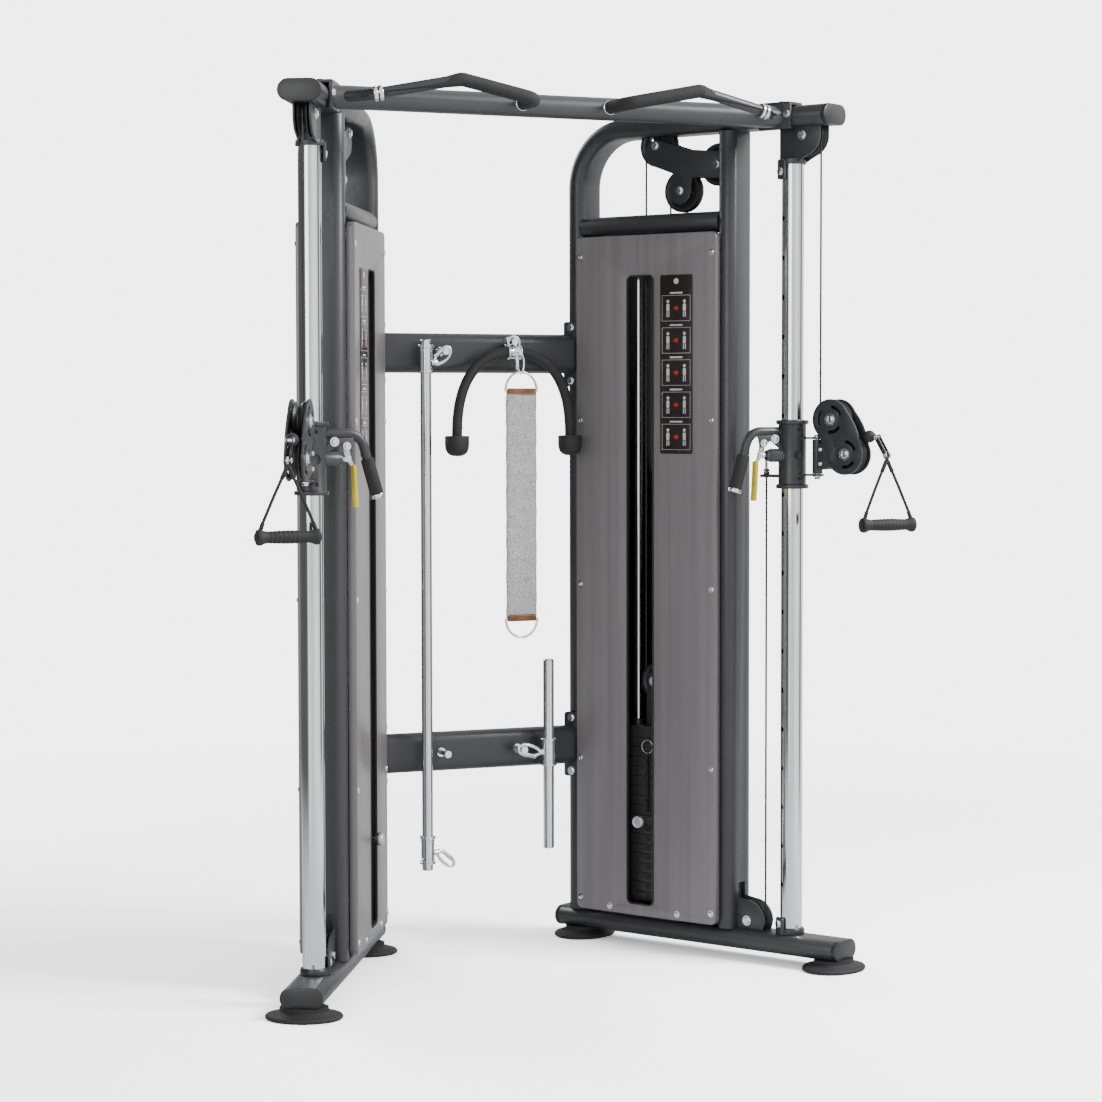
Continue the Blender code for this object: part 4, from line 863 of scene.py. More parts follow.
def cable_line(tower):
    """One cable: ball, swivel pulley, top beam, stack, inside the upright, base, carriage."""
    r = PULLEY_LINE
    route = [(BALL[0] - BALL_R, BALL[1])]
    route += arc(SWIVEL_UP, SWIVEL_LINE, -90, -180, 14)
    route += arc(FRONT_TOP, r, 0, 90, 14)
    route += arc(REAR_TOP, r, 90, 180, 14)
    route += arc(FLOATING, (STACK_TOP[0] - REAR_TOP[0]) / 2, 180, 360, 28)
    over = atan2(UPRIGHT_TOP[1] - STACK_TOP[1], UPRIGHT_TOP[0] - STACK_TOP[0]) * 180 / pi + 90
    route += arc(STACK_TOP, r, 180, over, 10)
    route += arc(UPRIGHT_TOP, r, over, 0, 16)
    route += arc(FRONT_BASE, r, 180, 360, 28)
    route.append((FRONT_BASE[0] + r, 1.2046))
    line = wire([(u, 0, z) for u, z in route], CABLE_R, 12)
    tower.piece("cable_line", line, "cable", "cable_sheath", bevel=0, replaces=["cable"])


# ---- carriage
def carriage(tower):
    """Sleeve, flanges, handle tube with foam, plunger housing and cable anchor."""
    own = dict(body="carriage", place=tower.carriage)
    low, high = SLEEVE_Z
    sleeve = lathe([(0.0275, low), (0.0385, low), (FLANGE_R, low + 0.0015), (FLANGE_R, low + 0.0085),
                    (0.0385, low + 0.01), (SLEEVE_R, low + 0.011), (SLEEVE_R, high - 0.011),
                    (0.0385, high - 0.01), (FLANGE_R, high - 0.0085), (FLANGE_R, high - 0.0015),
                    (0.0385, high), (0.0275, high)], 64)
    holes = [rod((0, 0.028, z), (0, 0.05, z), radius, 28)
             for z, radius in ((1.3225, 0.0045), (1.26, 0.0115), (1.203, 0.0045))]
    tower.piece("sleeve", sleeve, "coat", "frame_coat", cuts=[joined(*holes)], replaces=["carriage"],
                **own)
    liner = [lathe([(0.0273, z), (0.03, z), (0.03, z + 0.0025), (0.0273, z + 0.0025)], 48)
             for z in (low - 0.0006, high - 0.0019)]
    tower.piece("sleeve_liners", joined(*liner), "nylon", "frame_coat", **own)
    path = rounded_path([(0.029, 0, 1.3185), (0.1177, 0, 1.3185), (0.1607, 0, 1.17)], 0.04, 16)
    tower.piece("handle_tube", wire(path, 0.0112, 32), "coat", "frame_coat", **own)
    foot, end = Vector((0.1345, 0, 1.2604)), Vector((0.1607, 0, 1.17))
    along = (end - foot).normalized()
    length = (end - foot).length
    foam = lathe([(0.0113, 0), (0.0145, 0.0005), (0.0155, 0.003), (0.0155, length - 0.013),
                  (0.0145, length - 0.01), (0.0113, length - 0.01)], 40, along, foot)
    tower.piece("handle_foam", foam, "foam", "rubber", bevel=0, **own)
    ring = lathe([(0.0113, length - 0.0095), (0.0158, length - 0.0095), (0.0163, length - 0.008),
                  (0.0163, length - 0.0015), (0.015, length), (0.006, length), (0.005, length - 0.002),
                  (0, length - 0.002)], 40, along, foot)
    tower.piece("handle_end_ring", ring, "chrome", "chrome", bevel=0, **own)
    gusset = prism([(0.031, 1.285), (0.062, 1.309), (0.1, 1.309), (0.0945, 1.283), (0.087, 1.2805),
                    (0.075, 1.284), (0.066, 1.296), (0.031, 1.27)], 0.0045, 0.0085, "y")
    tower.piece("handle_gusset", gusset, "coat", "frame_coat", **own)
    pivot = joined(bolt((LEVER_PIVOT[0], 0.0085, LEVER_PIVOT[1]), (0, 1, 0), 0.007, 0.006),
                   rod((LEVER_PIVOT[0], -0.0065, LEVER_PIVOT[1]), (LEVER_PIVOT[0], 0.009, LEVER_PIVOT[1]),
                       0.004, 20),
                   bolt((0.053, 0.0085, 1.3), (0, 1, 0), 0.008, 0.006))
    tower.piece("lever_pivot", pivot, "chrome", "hardware", bevel=0, **own)
    housing = lathe([(0, 0.03), (0.0165, 0.03), (0.0165, 0.062), (0.014, 0.066), (0.013, 0.0722),
                     (0.0066, 0.0722), (0.0066, 0.04), (0, 0.04)], 40, (1, 0, 0), (0, 0, PIN_Z))
    tower.piece("plunger_housing", housing, "coat", "hardware", bevel=0, **own)
    flat = dict(body="carriage")
    anchor_u, anchor_z = FRONT_BASE[0] + PULLEY_LINE, 1.205
    tab = prism(rectangle((anchor_u - 0.013, -0.013), (U_GUIDE - 0.03, 0.013), 0.004, 4),
                anchor_z, anchor_z + 0.007)
    tower.piece("anchor_tab", tab, "coat", "frame_coat", **flat)
    thread = [(0, 0)] + [(0.0036 + 0.0005 * (turn % 2), 0.001 + 0.0009 * turn) for turn in range(52)]
    stud = lathe(thread + [(0, 0.048)], 20, spot=(anchor_u, 0, anchor_z - 0.003))
    nuts = [lathe([(0, z), (0.0082, z), (0.0088, z + 0.001), (0.0088, z + 0.0055), (0.0082, z + 0.0065),
                   (0, z + 0.0065)], 6, spot=(anchor_u, 0, 0))
            for z in (anchor_z + 0.0072, anchor_z + 0.0142)]
    tower.piece("cable_anchor", joined(stud, *nuts), "steel", "hardware", bevel=0, **flat)
    for number, z in enumerate(HINGE_Z):
        outline = ([(U_GUIDE + 0.03, -0.017)] + arc((HINGE_U, 0), 0.016, -90, 90, 16)
                   + [(U_GUIDE + 0.03, 0.017)])
        tower.piece(f"hinge_ear_{number}", prism(outline, z - 0.0025, z + 0.0025), "coat",
                    "frame_coat", **flat)
    ends = joined(hex_bolt((HINGE_U, 0, HINGE_Z[1] + 0.0025), (0, 0, 1), 0.0085),
                  hex_bolt((HINGE_U, 0, HINGE_Z[0] - 0.0025), (0, 0, -1), 0.0085, 0.008),
                  rod((HINGE_U, 0, HINGE_Z[0]), (HINGE_U, 0, HINGE_Z[1]), 0.0055, 24))
    tower.piece("hinge_bolt", ends, "chrome", "hardware", bevel=0, **flat)


def release_lever(tower):
    own = dict(body="release_lever", place=tower.carriage)
    pivot, tip = LEVER_PIVOT, LEVER_TIP
    blade = (arc(pivot, 0.0078, 190, -10, 14)
             + [(0.095, 1.262), (0.106, 1.24), (0.099, 1.238), (0.0805, 1.262)])
    steel = prism(blade, -0.0022, 0.0022, "y")
    tower.piece("lever_blade", steel, "steel", "lever", replaces=["release_lever"], **own)
    start, end = Vector((0.1015, 0, 1.246)), Vector((tip[0], 0, tip[1] + 0.002))
    grip = sweep(rounded_path([start, (0.103, 0, 1.215), end], 0.3, 8), racetrack(0.005, 0.0105, 8))
    tower.piece("lever_grip", grip, "yellow", "lever", bevel=0.0024, smooth=50, **own)


def plunger(tower):
    own = dict(body="plunger", place=tower.carriage)
    pin = lathe([(0, 0.0278), (0.0042, 0.0278), (0.005, 0.0295), (0.005, 0.077), (0.0066, 0.0775),
                 (0.0072, 0.08), (0.0072, 0.084), (0.006, 0.085), (0, 0.085)], 32, (1, 0, 0),
                (0, 0, PIN_Z))
    tower.piece("plunger_pin", pin, "chrome", "chrome", bevel=0, replaces=["plunger"], **own)
    fork = plate_pair(rectangle((0.0815, PIN_Z - 0.0065), (0.0945, PIN_Z + 0.0065), 0.003, 5),
                      0.0032, 0.0054)
    cross = [rod((0.0885, -0.0066, PIN_Z), (0.0885, 0.0066, PIN_Z), 0.0022, 18),
             bolt((0.0885, 0.0054, PIN_Z), (0, 1, 0), 0.0036, 0.0025)]
    tower.piece("plunger_fork", joined(*fork, *cross), "chrome", "chrome", bevel=0.0004, **own)


def kidney():
    """The swivel's side plate: two lobes, a bulging front edge and a notch at the barrel."""
    windows = []
    for centre in (SWIVEL_UP, SWIVEL_LOW):
        for turn in (20, 140, 260):
            outer = arc(centre, 0.035, turn, turn + 66, 12)
            inner = arc(centre, 0.0265, turn + 66, turn, 12)
            windows.append(outer + inner)
    up, low = Vector(SWIVEL_UP), Vector(SWIVEL_LOW)
    slant = (low - up).normalized()
    front = Vector((-slant.y, slant.x))
    if front.x < 0:
        front = -front
    lean = degrees(atan2(front.y, front.x))
    radius = 0.05
    crown = arc(SWIVEL_UP, radius, lean + 205, lean, 26)
    heel = arc(SWIVEL_LOW, radius, lean, lean - 205, 26)
    start, end = Vector(crown[-1]), Vector(heel[0])
    bulge = []
    for step in range(1, 10):
        part = step / 10
        point = start.lerp(end, part) + front * 0.0065 * sin(pi * part)
        bulge.append((point.x, point.y))
    return crown + bulge + heel, windows


def swivel(tower):
    own = dict(body="swivel")
    inner, outer = 0.0175, 0.0215
    barrel = lathe([(0.0062, HINGE_Z[0] + 0.0033), (0.0125, HINGE_Z[0] + 0.0033),
                    (0.0125, HINGE_Z[1] - 0.0033), (0.0062, HINGE_Z[1] - 0.0033)], 40,
                   spot=(HINGE_U, 0, 0))
    tower.piece("swivel_barrel", barrel, "coat", "frame_coat", replaces=["swivel_bracket"], **own)
    block = prism(rectangle((HINGE_U + 0.009, 1.226), (HINGE_U + 0.034, 1.289), 0.004, 4),
                  -inner, inner, "y")
    tower.piece("swivel_block", block, "coat", "frame_coat", **own)
    shape, windows = kidney()
    beam = rectangle((HINGE_U + 0.012, 1.232), (0.799, 1.283), 0.006, 5)
    cover = 0.0002
    arms = plate_pair(beam, inner + cover, outer - cover)
    for number, plate in enumerate(plate_pair(shape, inner, outer, windows)):
        for name, made in (("kidney_plate", plate), ("swivel_arm", arms[number])):
            tower.piece(f"{name}_{number}", made, "coat", "frame_coat", bevel=0.0006, **own)
    heads = axle_heads((SWIVEL_UP, SWIVEL_LOW), outer, bolt, radius=0.0105, height=0.007)
    hubs = [lathe([(0.01, 0), (0.015, 0), (0.015, 0.0012), (0.01, 0.0012)], 32, (0, side, 0),
                  (u, side * outer, z)) for u, z in (SWIVEL_UP, SWIVEL_LOW) for side in (1, -1)]
    tower.piece("swivel_axle_bolts", joined(heads, *hubs), "chrome", "hardware", bevel=0, **own)
    bridges = [bolt((HINGE_U + 0.022, side * inner, z), (0, side, 0), 0.0055, 0.0085)
               for z in (1.24, 1.275) for side in (1, -1)]
    tower.piece("swivel_block_screws", joined(*bridges), "chrome", "hardware", bevel=0, **own)


# ---- handle
def ball_and_shackle(tower):
    own = dict(body="ball_stop")
    u, z = BALL
    profile = [(BALL_R * cos(radians(a)), BALL_R * sin(radians(a))) for a in range(-90, 91, 10)]
    profile[0], profile[-1] = (0, -BALL_R), (0, BALL_R)
    ball = lathe(profile, 40, (1, 0, 0), (u, 0, z))
    tower.piece("stop_ball", ball, "rubber", "hardware", bevel=0, replaces=["ball_stop"], **own)
    neck = lathe([(0, 0.01), (0.0062, 0.01), (0.0062, 0.016), (0.0048, 0.0175), (0.0048, 0.026),
                  (0, 0.026)], 32, (1, 0, 0), (u, 0, z))
    tower.piece("cable_thimble", neck, "dark_steel", "hardware", bevel=0, **own)
    root = (u + 0.022, z - 0.001)
    straps = plate_pair(belt(root, LINK_END, 0.0058, 12), 0.0055, 0.008)
    pins = [rod((x, -0.0085, y), (x, 0.0085, y), radius, 24)
            for x, y, radius in ((*root, 0.0046), (*LINK_END, 0.003))]
    heads = axle_heads((root, LINK_END), 0.008, bolt, radius=0.0048, height=0.003)
    tower.piece("shackle", joined(*straps), "dark_steel", "hardware", bevel=0.0005, **own)
    tower.piece("shackle_pins", joined(*pins, heads), "chrome", "hardware", bevel=0, **own)


def d_handle(tower):
    own = dict(body="handle", place=IDENTITY)
    top = tower.plane @ Vector((LINK_END[0], 0, LINK_END[1]))
    centre = tower.plane @ Vector((LINK_END[0] + 0.003, 0, HANDLE_Z))
    half = HANDLE_HALF
    profile = [(0, -half), (0.013, -half), (0.017, -half + 0.002), (0.0184, -half + 0.006),
               (0.0178, -half + 0.011), (0.0145, -half + 0.018)]
    profile += [(0.0128 + 0.0016 * cos(pi * x / 0.09), x) for x in
                [(-0.045 + 0.09 * step / 10) for step in range(11)]]
    profile += [(0.0145, half - 0.018), (0.0178, half - 0.011), (0.0184, half - 0.006),
                (0.017, half - 0.002), (0.013, half), (0, half)]
    grip = lathe(profile, 48, (1, 0, 0), centre)
    tower.piece("grip_core", grip, "rubber", "rubber", bevel=0, replaces=["d_handle"], **own)
    ribs = []
    for index in range(9):
        x = -0.04 + index * 0.01
        radius = 0.0128 + 0.0016 * cos(pi * x / 0.09)
        ribs.append(lathe([(radius - 0.001, x - 0.003), (radius + 0.0006, x - 0.0022),
                           (radius + 0.0006, x + 0.0022), (radius - 0.001, x + 0.003)], 40, (1, 0, 0),
                          centre))
    tower.piece("grip_ribs", joined(*ribs), "rubber", "rubber", bevel=0, **own)
    cap = [(0, half - 0.0005), (0.011, half - 0.0005), (0.011, half + 0.0012),
           (0.0095, half + 0.0022), (0, half + 0.0022)]
    caps = [lathe(cap, 32, (side, 0, 0), centre) for side in (1, -1)]
    tower.piece("grip_caps", joined(*caps), "plastic", "rubber", bevel=0, **own)
    eye = top - Vector((0, 0, 0.009))
    legs = []
    for side in (-1, 1):
        shoulder = centre + Vector((side * (half - 0.009), 0, 0.017))
        foot = centre + Vector((side * (half - 0.009), 0, 0.004))
        bow = eye.lerp(shoulder, 0.5) + Vector((side * 0.001, 0, 0))
        legs.append(wire([eye, bow, shoulder, foot], 0.0036, 14))
        legs.append(rod(eye.lerp(shoulder, 0.03), eye.lerp(shoulder, 0.22), 0.0049, 20))
        legs.append(rod(shoulder.lerp(eye, 0.1), shoulder.lerp(foot, 0.3), 0.0049, 20))
    tower.piece("handle_cords", joined(*legs), "webbing", "rubber", bevel=0.0003, **own)
    ring = lathe([(0.0045, -0.0028), (0.0095, -0.0028), (0.0105, -0.0015), (0.0105, 0.0015),
                  (0.0095, 0.0028), (0.0045, 0.0028)], 36, tower.plane.to_3x3() @ Vector((0, 1, 0)), top)
    tower.piece("handle_eye", ring, "steel", "hardware", bevel=0, **own)


# ---- shared frame pieces
def cross_beam(towers, name, z, pegs):
    back = towers[0].plane.translation.y
    beam_y = back - 0.041
    reach = abs((towers[0].plane @ Vector((U_REAR, TUBE_W / 2, 0))).x) + 0.02
    outline = [(beam_y + y, height + z) for y, height in racetrack(TUBE_H / 2, TUBE_W / 2)]
    piece(f"{name}_tube", prism(outline, -reach, reach, "x"), "coat", "frame", "frame_coat",
          replaces=[name])
    for tower in towers:
        plate = prism(rectangle((U_REAR - 0.0235, z - 0.083), (U_REAR + 0.0235, z + 0.083), 0.006, 5),
                      TUBE_W / 2 - 0.004, TUBE_W / 2 + 0.0102, "y")
        tower.piece(f"{name}_plate", plate, "coat", "frame_coat")
        bolts = [hex_bolt((U_REAR, TUBE_W / 2 + 0.0102, z + dz), (0, 1, 0), 0.0085)
                 for dz in (-0.069, 0.069)]
        tower.piece(f"{name}_bolts", joined(*bolts), "chrome", "frame_coat", bevel=0)
    front = beam_y - TUBE_H / 2
    stems, buttons = [], []
    for x, height in pegs:
        stems.append(rod((x, front + 0.004, height), (x, front - 0.047, height), 0.0058, 24))
        buttons.append(lathe([(0, 0), (0.009, 0), (0.01, 0.0012), (0.01, 0.0045), (0.0085, 0.0062),
                              (0, 0.0062)], 32, (0, -1, 0), (x, front - 0.0458, height)))
        buttons.append(lathe([(0.0058, 0), (0.0125, 0), (0.0115, 0.003), (0.0058, 0.003)], 32, (0, -1, 0),
                             (x, front, height)))
    piece(f"{name}_pegs", joined(*stems), "coat", "frame", "frame_coat", bevel=0)
    piece(f"{name}_peg_heads", joined(*buttons), "chrome", "frame", "frame_coat", bevel=0)


def pull_up_bar(towers):
    bar_y = towers[0].plane.translation.y - 0.58
    z, top = 2.083, TOP_Z + TUBE_H / 2
    along, across = towers[0].plane.col[0], towers[0].plane.col[1]
    meet_u = (bar_y - towers[0].plane.translation.y - TUBE_W / 2 * across.y) / along.y
    reach = abs((towers[0].plane @ Vector((meet_u, TUBE_W / 2, 0))).x)
    piece("bar_tube", rod((-reach - 0.012, bar_y, z), (reach + 0.012, bar_y, z), GUIDE_R, 48), "coat",
          "frame", "frame_coat", bevel=0, replaces=["pull_up_bar"])
    for tower in towers:
        side_plate = prism(rectangle((meet_u - 0.046, TOP_Z - 0.033), (meet_u + 0.046, top + 0.0078),
                                     0.006, 5), 0.0504, 0.0584, "y")
        tower.piece("bar_side_plate", side_plate, "coat", "frame_coat")
        roof = prism(rectangle((meet_u - 0.0455, -0.0016), (meet_u + 0.0455, 0.0579), 0.006, 5),
                     top + 0.0004, top + 0.008)
        tower.piece("bar_top_plate", roof, "coat", "frame_coat")
        bolts = [hex_bolt((meet_u, 0.022, top + 0.008), (0, 0, 1), 0.0085, 0.0055)]
        bolts += [hex_bolt((meet_u + du, 0.0584, TOP_Z + 0.004), (0, 1, 0), 0.008)
                  for du in (-0.037, 0.037)]
        tower.piece("bar_plate_bolts", joined(*bolts), "chrome", "frame_coat", bevel=0)
        side = tower.side
        corners = [(side * 0.112, bar_y - 0.015, 2.084), (side * 0.112, bar_y - 0.118, 2.084),
                   (side * 0.3, bar_y - 0.124, 2.121), (side * 0.5, bar_y - 0.083, 2.083),
                   (side * 0.545, bar_y - 0.01, 2.083)]
        path = rounded_path(corners, 0.03, 12)
        core = wire(path, 0.0128, 28)
        piece(f"raised_grip_{tower.name}", core, "coat", "frame", "frame_coat", bevel=0)
        padded = path[1:28] + [Vector(corners[2]).lerp(Vector(corners[3]), 0.9)]
        foam = wire([path[0].lerp(path[1], 0.25)] + padded, 0.0158, 32)
        piece(f"raised_grip_foam_{tower.name}", foam, "foam", "frame", "rubber", bevel=0.0015)
        start, end = Vector(corners[2]), Vector(corners[3])
        for number, part in enumerate((0.915, 0.975)):
            ring = lathe([(0.012, -0.0045), (0.0165, -0.0045), (0.0172, -0.0035), (0.0172, 0.0035),
                          (0.0165, 0.0045), (0.012, 0.0045)], 40, end - start, start.lerp(end, part))
            piece(f"grip_ring_{number}_{tower.name}", ring, "chrome", "frame", "chrome", bevel=0)
        foot = lathe([(0.012, 0), (0.0172, 0), (0.0172, 0.007), (0.016, 0.008), (0.012, 0.008)], 40,
                     (0, -1, 0), (side * 0.112, bar_y - 0.024, 2.084))
        piece(f"grip_foot_ring_{tower.name}", foot, "chrome", "frame", "chrome", bevel=0)


# ---- stored attachments
def spring_hook(anchor, reach, width, radius=0.0043):
    """An oval spring hook from an eye to a peg, in the hanging plane."""
    a, b = Vector(anchor), Vector(reach)
    along = (b - a).normalized()
    side = Vector((-along.z, 0, along.x))
    length = (b - a).length
    path = []
    for step in range(40):
        turn = 2 * pi * step / 40
        across = width / 2 * (0.9 + 0.18 * cos(turn)) * sin(turn)
        path.append((a + b) / 2 + along * (length / 2 + 0.004) * cos(turn) + side * across)
    return wire(path, radius, 14, closed=True)


def hook_gate(anchor, reach, width):
    a, b = Vector(anchor), Vector(reach)
    along = (b - a).normalized()
    side = Vector((-along.z, 0, along.x)) * width * 0.42
    return rod(a + along * 0.006 + side, b - along * 0.008 + side * 0.9, 0.0054, 20)


def hook_pieces(name, body, *hooks):
    loops = [spring_hook(*hook) for hook in hooks]
    piece(f"{name}_hooks", joined(*loops), "chrome", body, "chrome", bevel=0)
    gates = [hook_gate(*hook[:3]) for hook in hooks]
    piece(f"{name}_hook_gates", joined(*gates), "knurl", body, "chrome", bevel=0.0004)


def bar_collar(x, y, z, half):
    """A grooved swivel collar round a bar."""
    flange = [(0.0165, 0), (0.02, 0.001), (0.0208, 0.002), (0.0208, 0.006), (0.02, 0.007),
              (0.0168, 0.008), (0.0168, 0.01), (0.018, 0.011), (0.018, 0.014), (0.0168, 0.015)]
    profile = [(0.013, -half)] + [(r, -half + h) for r, h in flange]
    profile += [(r, half - h) for r, h in reversed(flange)] + [(0.013, half)]
    return lathe(profile, 40, spot=(x, y, z))


def bar_shaft(name, x, y, low, high):
    profile = [(0, low), (0.012, low), (0.0138, low + 0.002), (0.0138, high - 0.002), (0.012, high),
               (0, high)]
    piece(f"{name}_shaft", lathe(profile, 40, spot=(x, y, 0)), "chrome", f"{name}_bar", "chrome",
          bevel=0, replaces=[f"{name}_bar"])


def stored_bars():
    low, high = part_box("long_bar")
    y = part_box("triceps_bar")[0].y + 0.031
    x = low.x + 0.0175
    bar_shaft("long", x, y, low.z, high.z)
    collars = [bar_collar(x, y, z, 0.036) for z in (0.266, 1.5)]
    piece("long_bar_collars", joined(*collars), "chrome", "long_bar", "chrome", bevel=0)
    stubs = [rod((x, y, z), (x + 0.03, y, z), 0.007, 24) for z in (0.258, 1.492)]
    piece("long_bar_eyes", joined(*stubs), "chrome", "long_bar", "chrome", bevel=0.0008)
    hook_pieces("long_bar", "long_bar", ((x + 0.028, y, 1.492), (-0.1045, y, 1.5245), 0.03),
                ((x + 0.028, y, 0.258), (x + 0.066, y, 0.226), 0.024))
    low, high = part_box("short_bar")
    x = high.x - 0.0175
    bar_shaft("short", x, y, low.z, high.z)
    piece("short_bar_collar", bar_collar(x, y, 0.498, 0.036), "chrome", "short_bar", "chrome", bevel=0)
    stub = rod((x, y, 0.498), (x - 0.03, y, 0.498), 0.007, 24)
    piece("short_bar_eye", stub, "chrome", "short_bar", "chrome", bevel=0.0008)
    hook_pieces("short_bar", "short_bar", ((x - 0.028, y, 0.498), (0.0865, y, 0.509), 0.029))


def triceps_bar():
    low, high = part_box("triceps_bar")
    x, y, radius = (low.x + high.x) / 2, low.y + 0.031, 0.155
    apex, leg = 1.512, 1.3
    rise = apex + 0.006 - leg
    path = []
    for step in range(61):
        turn = pi - pi * step / 60
        across = copysign(abs(cos(turn)) ** 0.86, cos(turn)) * radius
        path.append((x + across, y, leg + rise * sin(turn) ** 0.8))
    arch = wire(path, 0.013, 28)
    piece("triceps_arch", arch, "rubber", "triceps_bar", "rubber_bar", bevel=0, replaces=["triceps_bar"])
    bulb = [(0, 0), (0.011, 0.0008), (0.02, 0.0042), (0.0265, 0.011), (0.0298, 0.02),
            (0.0308, 0.03), (0.0308, 0.0495), (0.0296, 0.0515), (0.015, 0.052), (0, 0.052)]
    bulbs = [lathe(bulb, 48, spot=(x + side * radius, y, leg - 0.044)) for side in (-1, 1)]
    piece("triceps_bulbs", joined(*bulbs), "rubber", "triceps_bar", "rubber_bar", bevel=0)
    hub = [lathe([(0, -0.019), (0.017, -0.019), (0.0185, -0.017), (0.0185, -0.014), (0.0165, -0.013),
                  (0.0165, 0.013), (0.0185, 0.014), (0.0185, 0.017), (0.017, 0.019), (0, 0.019)], 40,
                 (1, 0, 0), (x, y, apex + 0.006)),
           lathe([(0, 0.012), (0.008, 0.012), (0.008, 0.02), (0.0055, 0.022), (0, 0.022)], 30,
                 spot=(x, y, apex))]
    piece("triceps_hub", joined(*hub), "chrome", "triceps_bar", "chrome", bevel=0.0006)
    ring = wire_ring((x, y, apex + 0.03), 0.0155, 0.0042, 16)
    piece("triceps_ring", ring, "chrome", "triceps_bar", "chrome", bevel=0)


def padded_strap():
    """A padded pulling strap: a crowned fleece pad, leather ends and two D rings."""
    low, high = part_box("pull_strap")
    x, y = (low.x + high.x) / 2, (low.y + high.y) / 2
    bottom, top, half = 0.842, 1.423, 0.0415
    across, along = 16, 90
    bm = bmesh.new()
    sheets = []
    for face in (-1, 1):
        rows = []
        for j in range(along + 1):
            z = bottom + 0.006 + (top - bottom - 0.012) * j / along
            row = []
            for i in range(across + 1):
                s = 2 * i / across - 1
                sag = 0.0012 * sin(z * 61) + 0.0009 * sin(z * 143 + s * 2)
                depth = 0.0048 * sqrt(max(0.0, 1 - s ** 6)) + 0.0004
                edge = half * (1 - 0.004 * cos(z * 70))
                row.append(bm.verts.new((x + s * edge, y + sag + face * depth, z)))
            rows.append(row)
        sheets.append(rows)
    for rows in sheets:
        for lower, upper in zip(rows, rows[1:]):
            for i in range(across):
                bm.faces.new((lower[i], lower[i + 1], upper[i + 1], upper[i]))
    back, front = sheets
    for j in range(along):
        for i in (0, across):
            bm.faces.new((back[j][i], back[j + 1][i], front[j + 1][i], front[j][i]))
    for j in (0, along):
        for i in range(across):
            bm.faces.new((back[j][i], back[j][i + 1], front[j][i + 1], front[j][i]))
    pad = piece("strap_pad", bm, "fleece", "pull_strap", "strap", bevel=0, replaces=["pull_strap"],
                smooth=70)
    ends, stitches, rings = [], [], []
    for z, way in ((top, 1), (bottom, -1)):
        lowest, highest = sorted((z - way * 0.013, z + way * 0.004))
        ends.append(prism(rectangle((x - 0.0385, lowest), (x + 0.0385, highest), 0.005, 5),
                          y - 0.0066, y + 0.0066, "y"))
        row = z - way * 0.0105
        for step in range(13):
            start = x - 0.0378 + step * 0.006
            for side in (y - 0.0067, y + 0.0067):
                stitches.append(rod((start, side, row), (start + 0.0036, side, row), 0.0005, 6))
        path = [(x - 0.0425 * cos(a), y, z + way * (0.046 * sin(a) - 0.001))
                for a in (pi * step / 24 for step in range(25))]
        rings.append(wire(path, 0.003, 16, closed=True))
    piece("strap_leather", joined(*ends), "leather", "pull_strap", "strap", bevel=0.0012)
    piece("strap_stitching", joined(*stitches), "ink_white", "pull_strap", "strap", bevel=0)
    piece("strap_rings", joined(*rings), "chrome", "pull_strap", "chrome", bevel=0)
    hook_pieces("strap", "pull_strap", ((x, y, top + 0.046), (x - 0.004, y, top + 0.088), 0.022, 0.0032))


# ---- stage
FLOOR_TONE, FLOOR_TONE_SEEN = (0.72, 0.72, 0.73), (2.7, 2.7, 2.73)
STUDIO_TONE, BACKDROP_TONE = (0.6, 0.605, 0.615), (4.5, 4.5, 4.5)


def stage():
    """A pale floor, brighter to the camera than to the object, which fades out with distance."""
    floor_mat, tree, shader = new_material("studio_floor", (0.8, 0.8, 0.81), 0.9)
    tree.nodes.remove(shader)
    rays = node(tree, "ShaderNodeLightPath")
    tone = mixed(tree, rays.outputs["Is Camera Ray"], FLOOR_TONE, FLOOR_TONE_SEEN)
    matt = node(tree, "ShaderNodeBsdfDiffuse")
    tree.links.new(tone, matt.inputs["Color"])
    place = node(tree, "ShaderNodeNewGeometry")
    distance = node(tree, "ShaderNodeVectorMath", operation="LENGTH")
    tree.links.new(place.outputs["Position"], distance.inputs[0])
    fade = in_range(tree, distance.outputs["Value"], 1.5, 5.0, interpolation_type="SMOOTHSTEP")
    clear = node(tree, "ShaderNodeBsdfTransparent")
    blend = node(tree, "ShaderNodeMixShader")
    tree.links.new(fade, blend.inputs["Fac"])
    tree.links.new(matt.outputs["BSDF"], blend.inputs[1])
    tree.links.new(clear.outputs["BSDF"], blend.inputs[2])
    tree.links.new(blend.outputs["Shader"], tree.nodes["Material Output"].inputs["Surface"])
    mesh = bpy.data.meshes.new("floor")
    size = 6.0
    corners = [(-size, -size, 0), (size, -size, 0), (size, size, 0), (-size, size, 0)]
    mesh.from_pydata(corners, [], [(0, 1, 2, 3)])
    mesh.materials.append(floor_mat)
    floor = bpy.data.objects.new("floor", mesh)
    bpy.context.scene.collection.objects.link(floor)


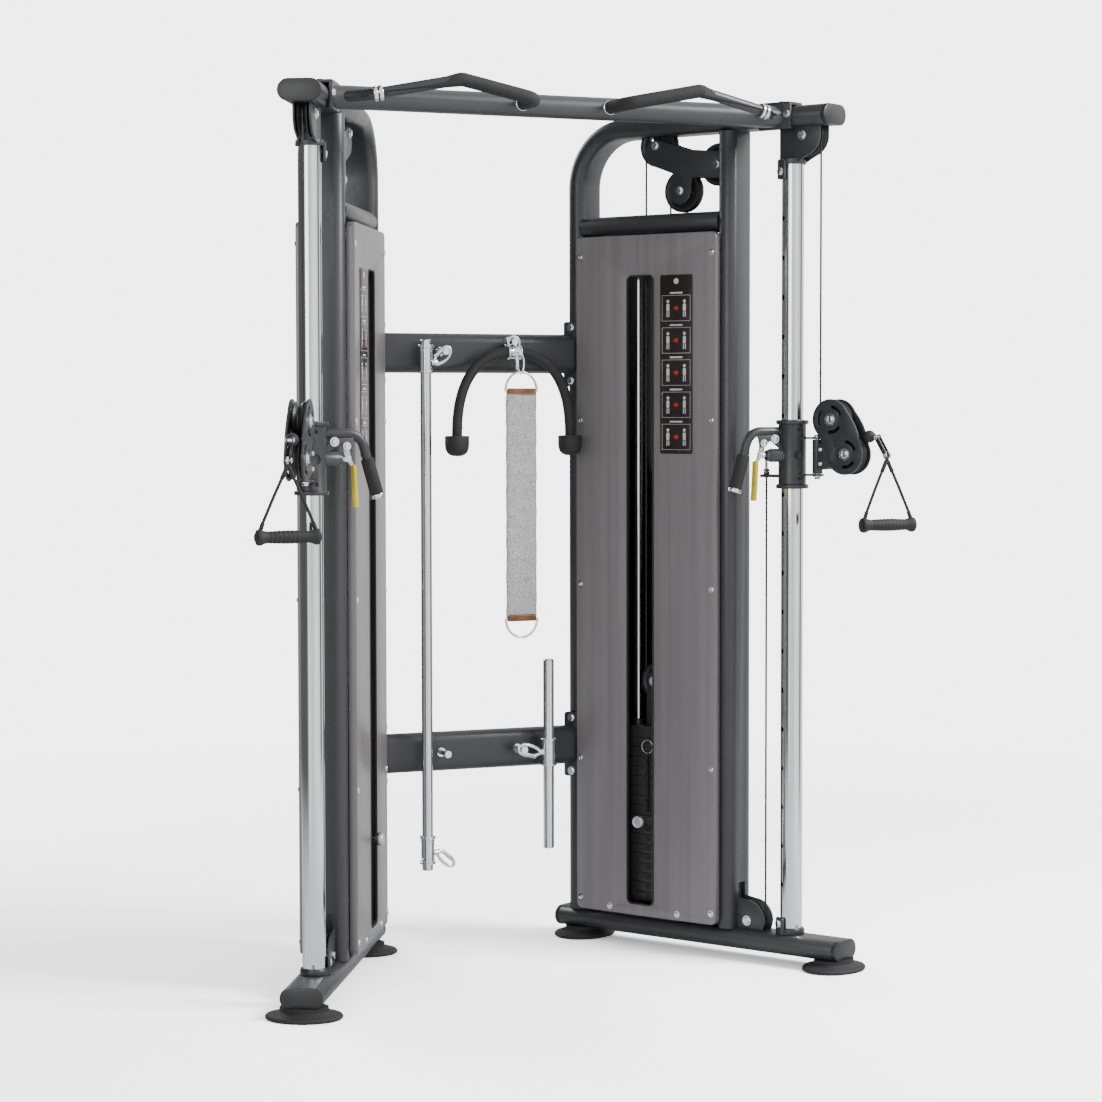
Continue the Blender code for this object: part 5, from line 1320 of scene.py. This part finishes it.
def world():
    """Pale to the camera, even light on the object, and dark bands where chrome reflects it."""
    made = bpy.data.worlds.new("studio")
    bpy.context.scene.world = made
    made.use_nodes = True
    tree = made.node_tree
    background = tree.nodes["Background"]
    place = node(tree, "ShaderNodeTexCoord")
    split = node(tree, "ShaderNodeSeparateXYZ")
    tree.links.new(place.outputs["Generated"], split.inputs["Vector"])
    turn = node(tree, "ShaderNodeMath", operation="ARCTAN2")
    tree.links.new(split.outputs["Y"], turn.inputs[0])
    tree.links.new(split.outputs["X"], turn.inputs[1])
    scaled = in_range(tree, turn.outputs[0], -pi, pi)
    bands = node(tree, "ShaderNodeValToRGB")
    levels = ((0.0, 0.1), (0.065, 0.14), (0.09, 1.3), (0.2, 1.0), (0.3, 1.6), (0.4, 1.2),
              (0.435, 0.1), (0.46, 0.1), (0.49, 1.5), (0.66, 1.2), (0.72, 0.12), (1.0, 0.1))
    elements = bands.color_ramp.elements
    elements[0].position, elements[1].position = levels[0][0], levels[-1][0]
    for position, _ in levels[1:-1]:
        elements.new(position)
    for element, (_, level) in zip(elements, levels):
        element.color = (level, level, level, 1)
    tree.links.new(scaled, bands.inputs["Fac"])
    rays = node(tree, "ShaderNodeLightPath")
    shiny = mixed(tree, rays.outputs["Is Glossy Ray"], STUDIO_TONE, bands.outputs["Color"])
    seen = mixed(tree, rays.outputs["Is Camera Ray"], shiny, BACKDROP_TONE)
    tree.links.new(seen, background.inputs["Color"])
    background.inputs["Strength"].default_value = 1.0


def area_light(name, spot, target, size, power):
    light = bpy.data.lights.new(name, "AREA")
    light.size = size
    light.energy = power
    obj = bpy.data.objects.new(name, light)
    obj.location = spot
    obj.rotation_euler = (Vector(target) - Vector(spot)).to_track_quat("-Z", "Y").to_euler()
    bpy.context.scene.collection.objects.link(obj)


def camera():
    data = bpy.data.cameras.new("view")
    data.lens = 89.9
    data.sensor_width = 36.0
    obj = bpy.data.objects.new("view", data)
    yaw, pitch, roll = radians(23.2726), radians(-2.8933), radians(-0.0968)
    ahead = Vector((sin(yaw) * cos(pitch), cos(yaw) * cos(pitch), sin(pitch)))
    turn = ahead.to_track_quat("-Z", "Y").to_matrix().to_4x4() @ Matrix.Rotation(roll, 4, "Z")
    obj.matrix_world = Matrix.Translation((-2.6001, -6.1747, 1.3673)) @ turn
    bpy.context.scene.collection.objects.link(obj)
    bpy.context.scene.camera = obj


# ---- build
towers = [Tower("left", -1), Tower("right", 1)]
for tower in towers:
    frame_tubes(tower)
    feet(tower)
    brackets(tower)
    guide(tower)
    shroud(tower, "inner_panel", "inner_shroud", 1, True)
    shroud(tower, "outer_panel", "outer_shroud", -1, False)
    placard(tower)
    weight_stack(tower)
    guide_rods(tower)
    pulleys(tower)
    pulley_plates(tower)
    cable_line(tower)
    carriage(tower)
    release_lever(tower)
    plunger(tower)
    swivel(tower)
    ball_and_shackle(tower)
    d_handle(tower)
cross_beam(towers, "lower_cross_beam", 0.506, [(-0.113, 0.506), (0.096, 0.506)])
cross_beam(towers, "upper_cross_beam", 1.516, [(-0.114, 1.519), (0.072, 1.545)])
pull_up_bar(towers)
stored_bars()
triceps_bar()
padded_strap()

stage()
world()
area_light("key", (3.6, -2.6, 4.4), (0, 0, 0.9), 2.2, 420)
area_light("fill", (-4.5, -3.5, 2.6), (0, 0, 1.1), 3.5, 90)
area_light("rim", (-1.5, 4.5, 3.6), (0, 0, 1.2), 2.5, 120)
camera()
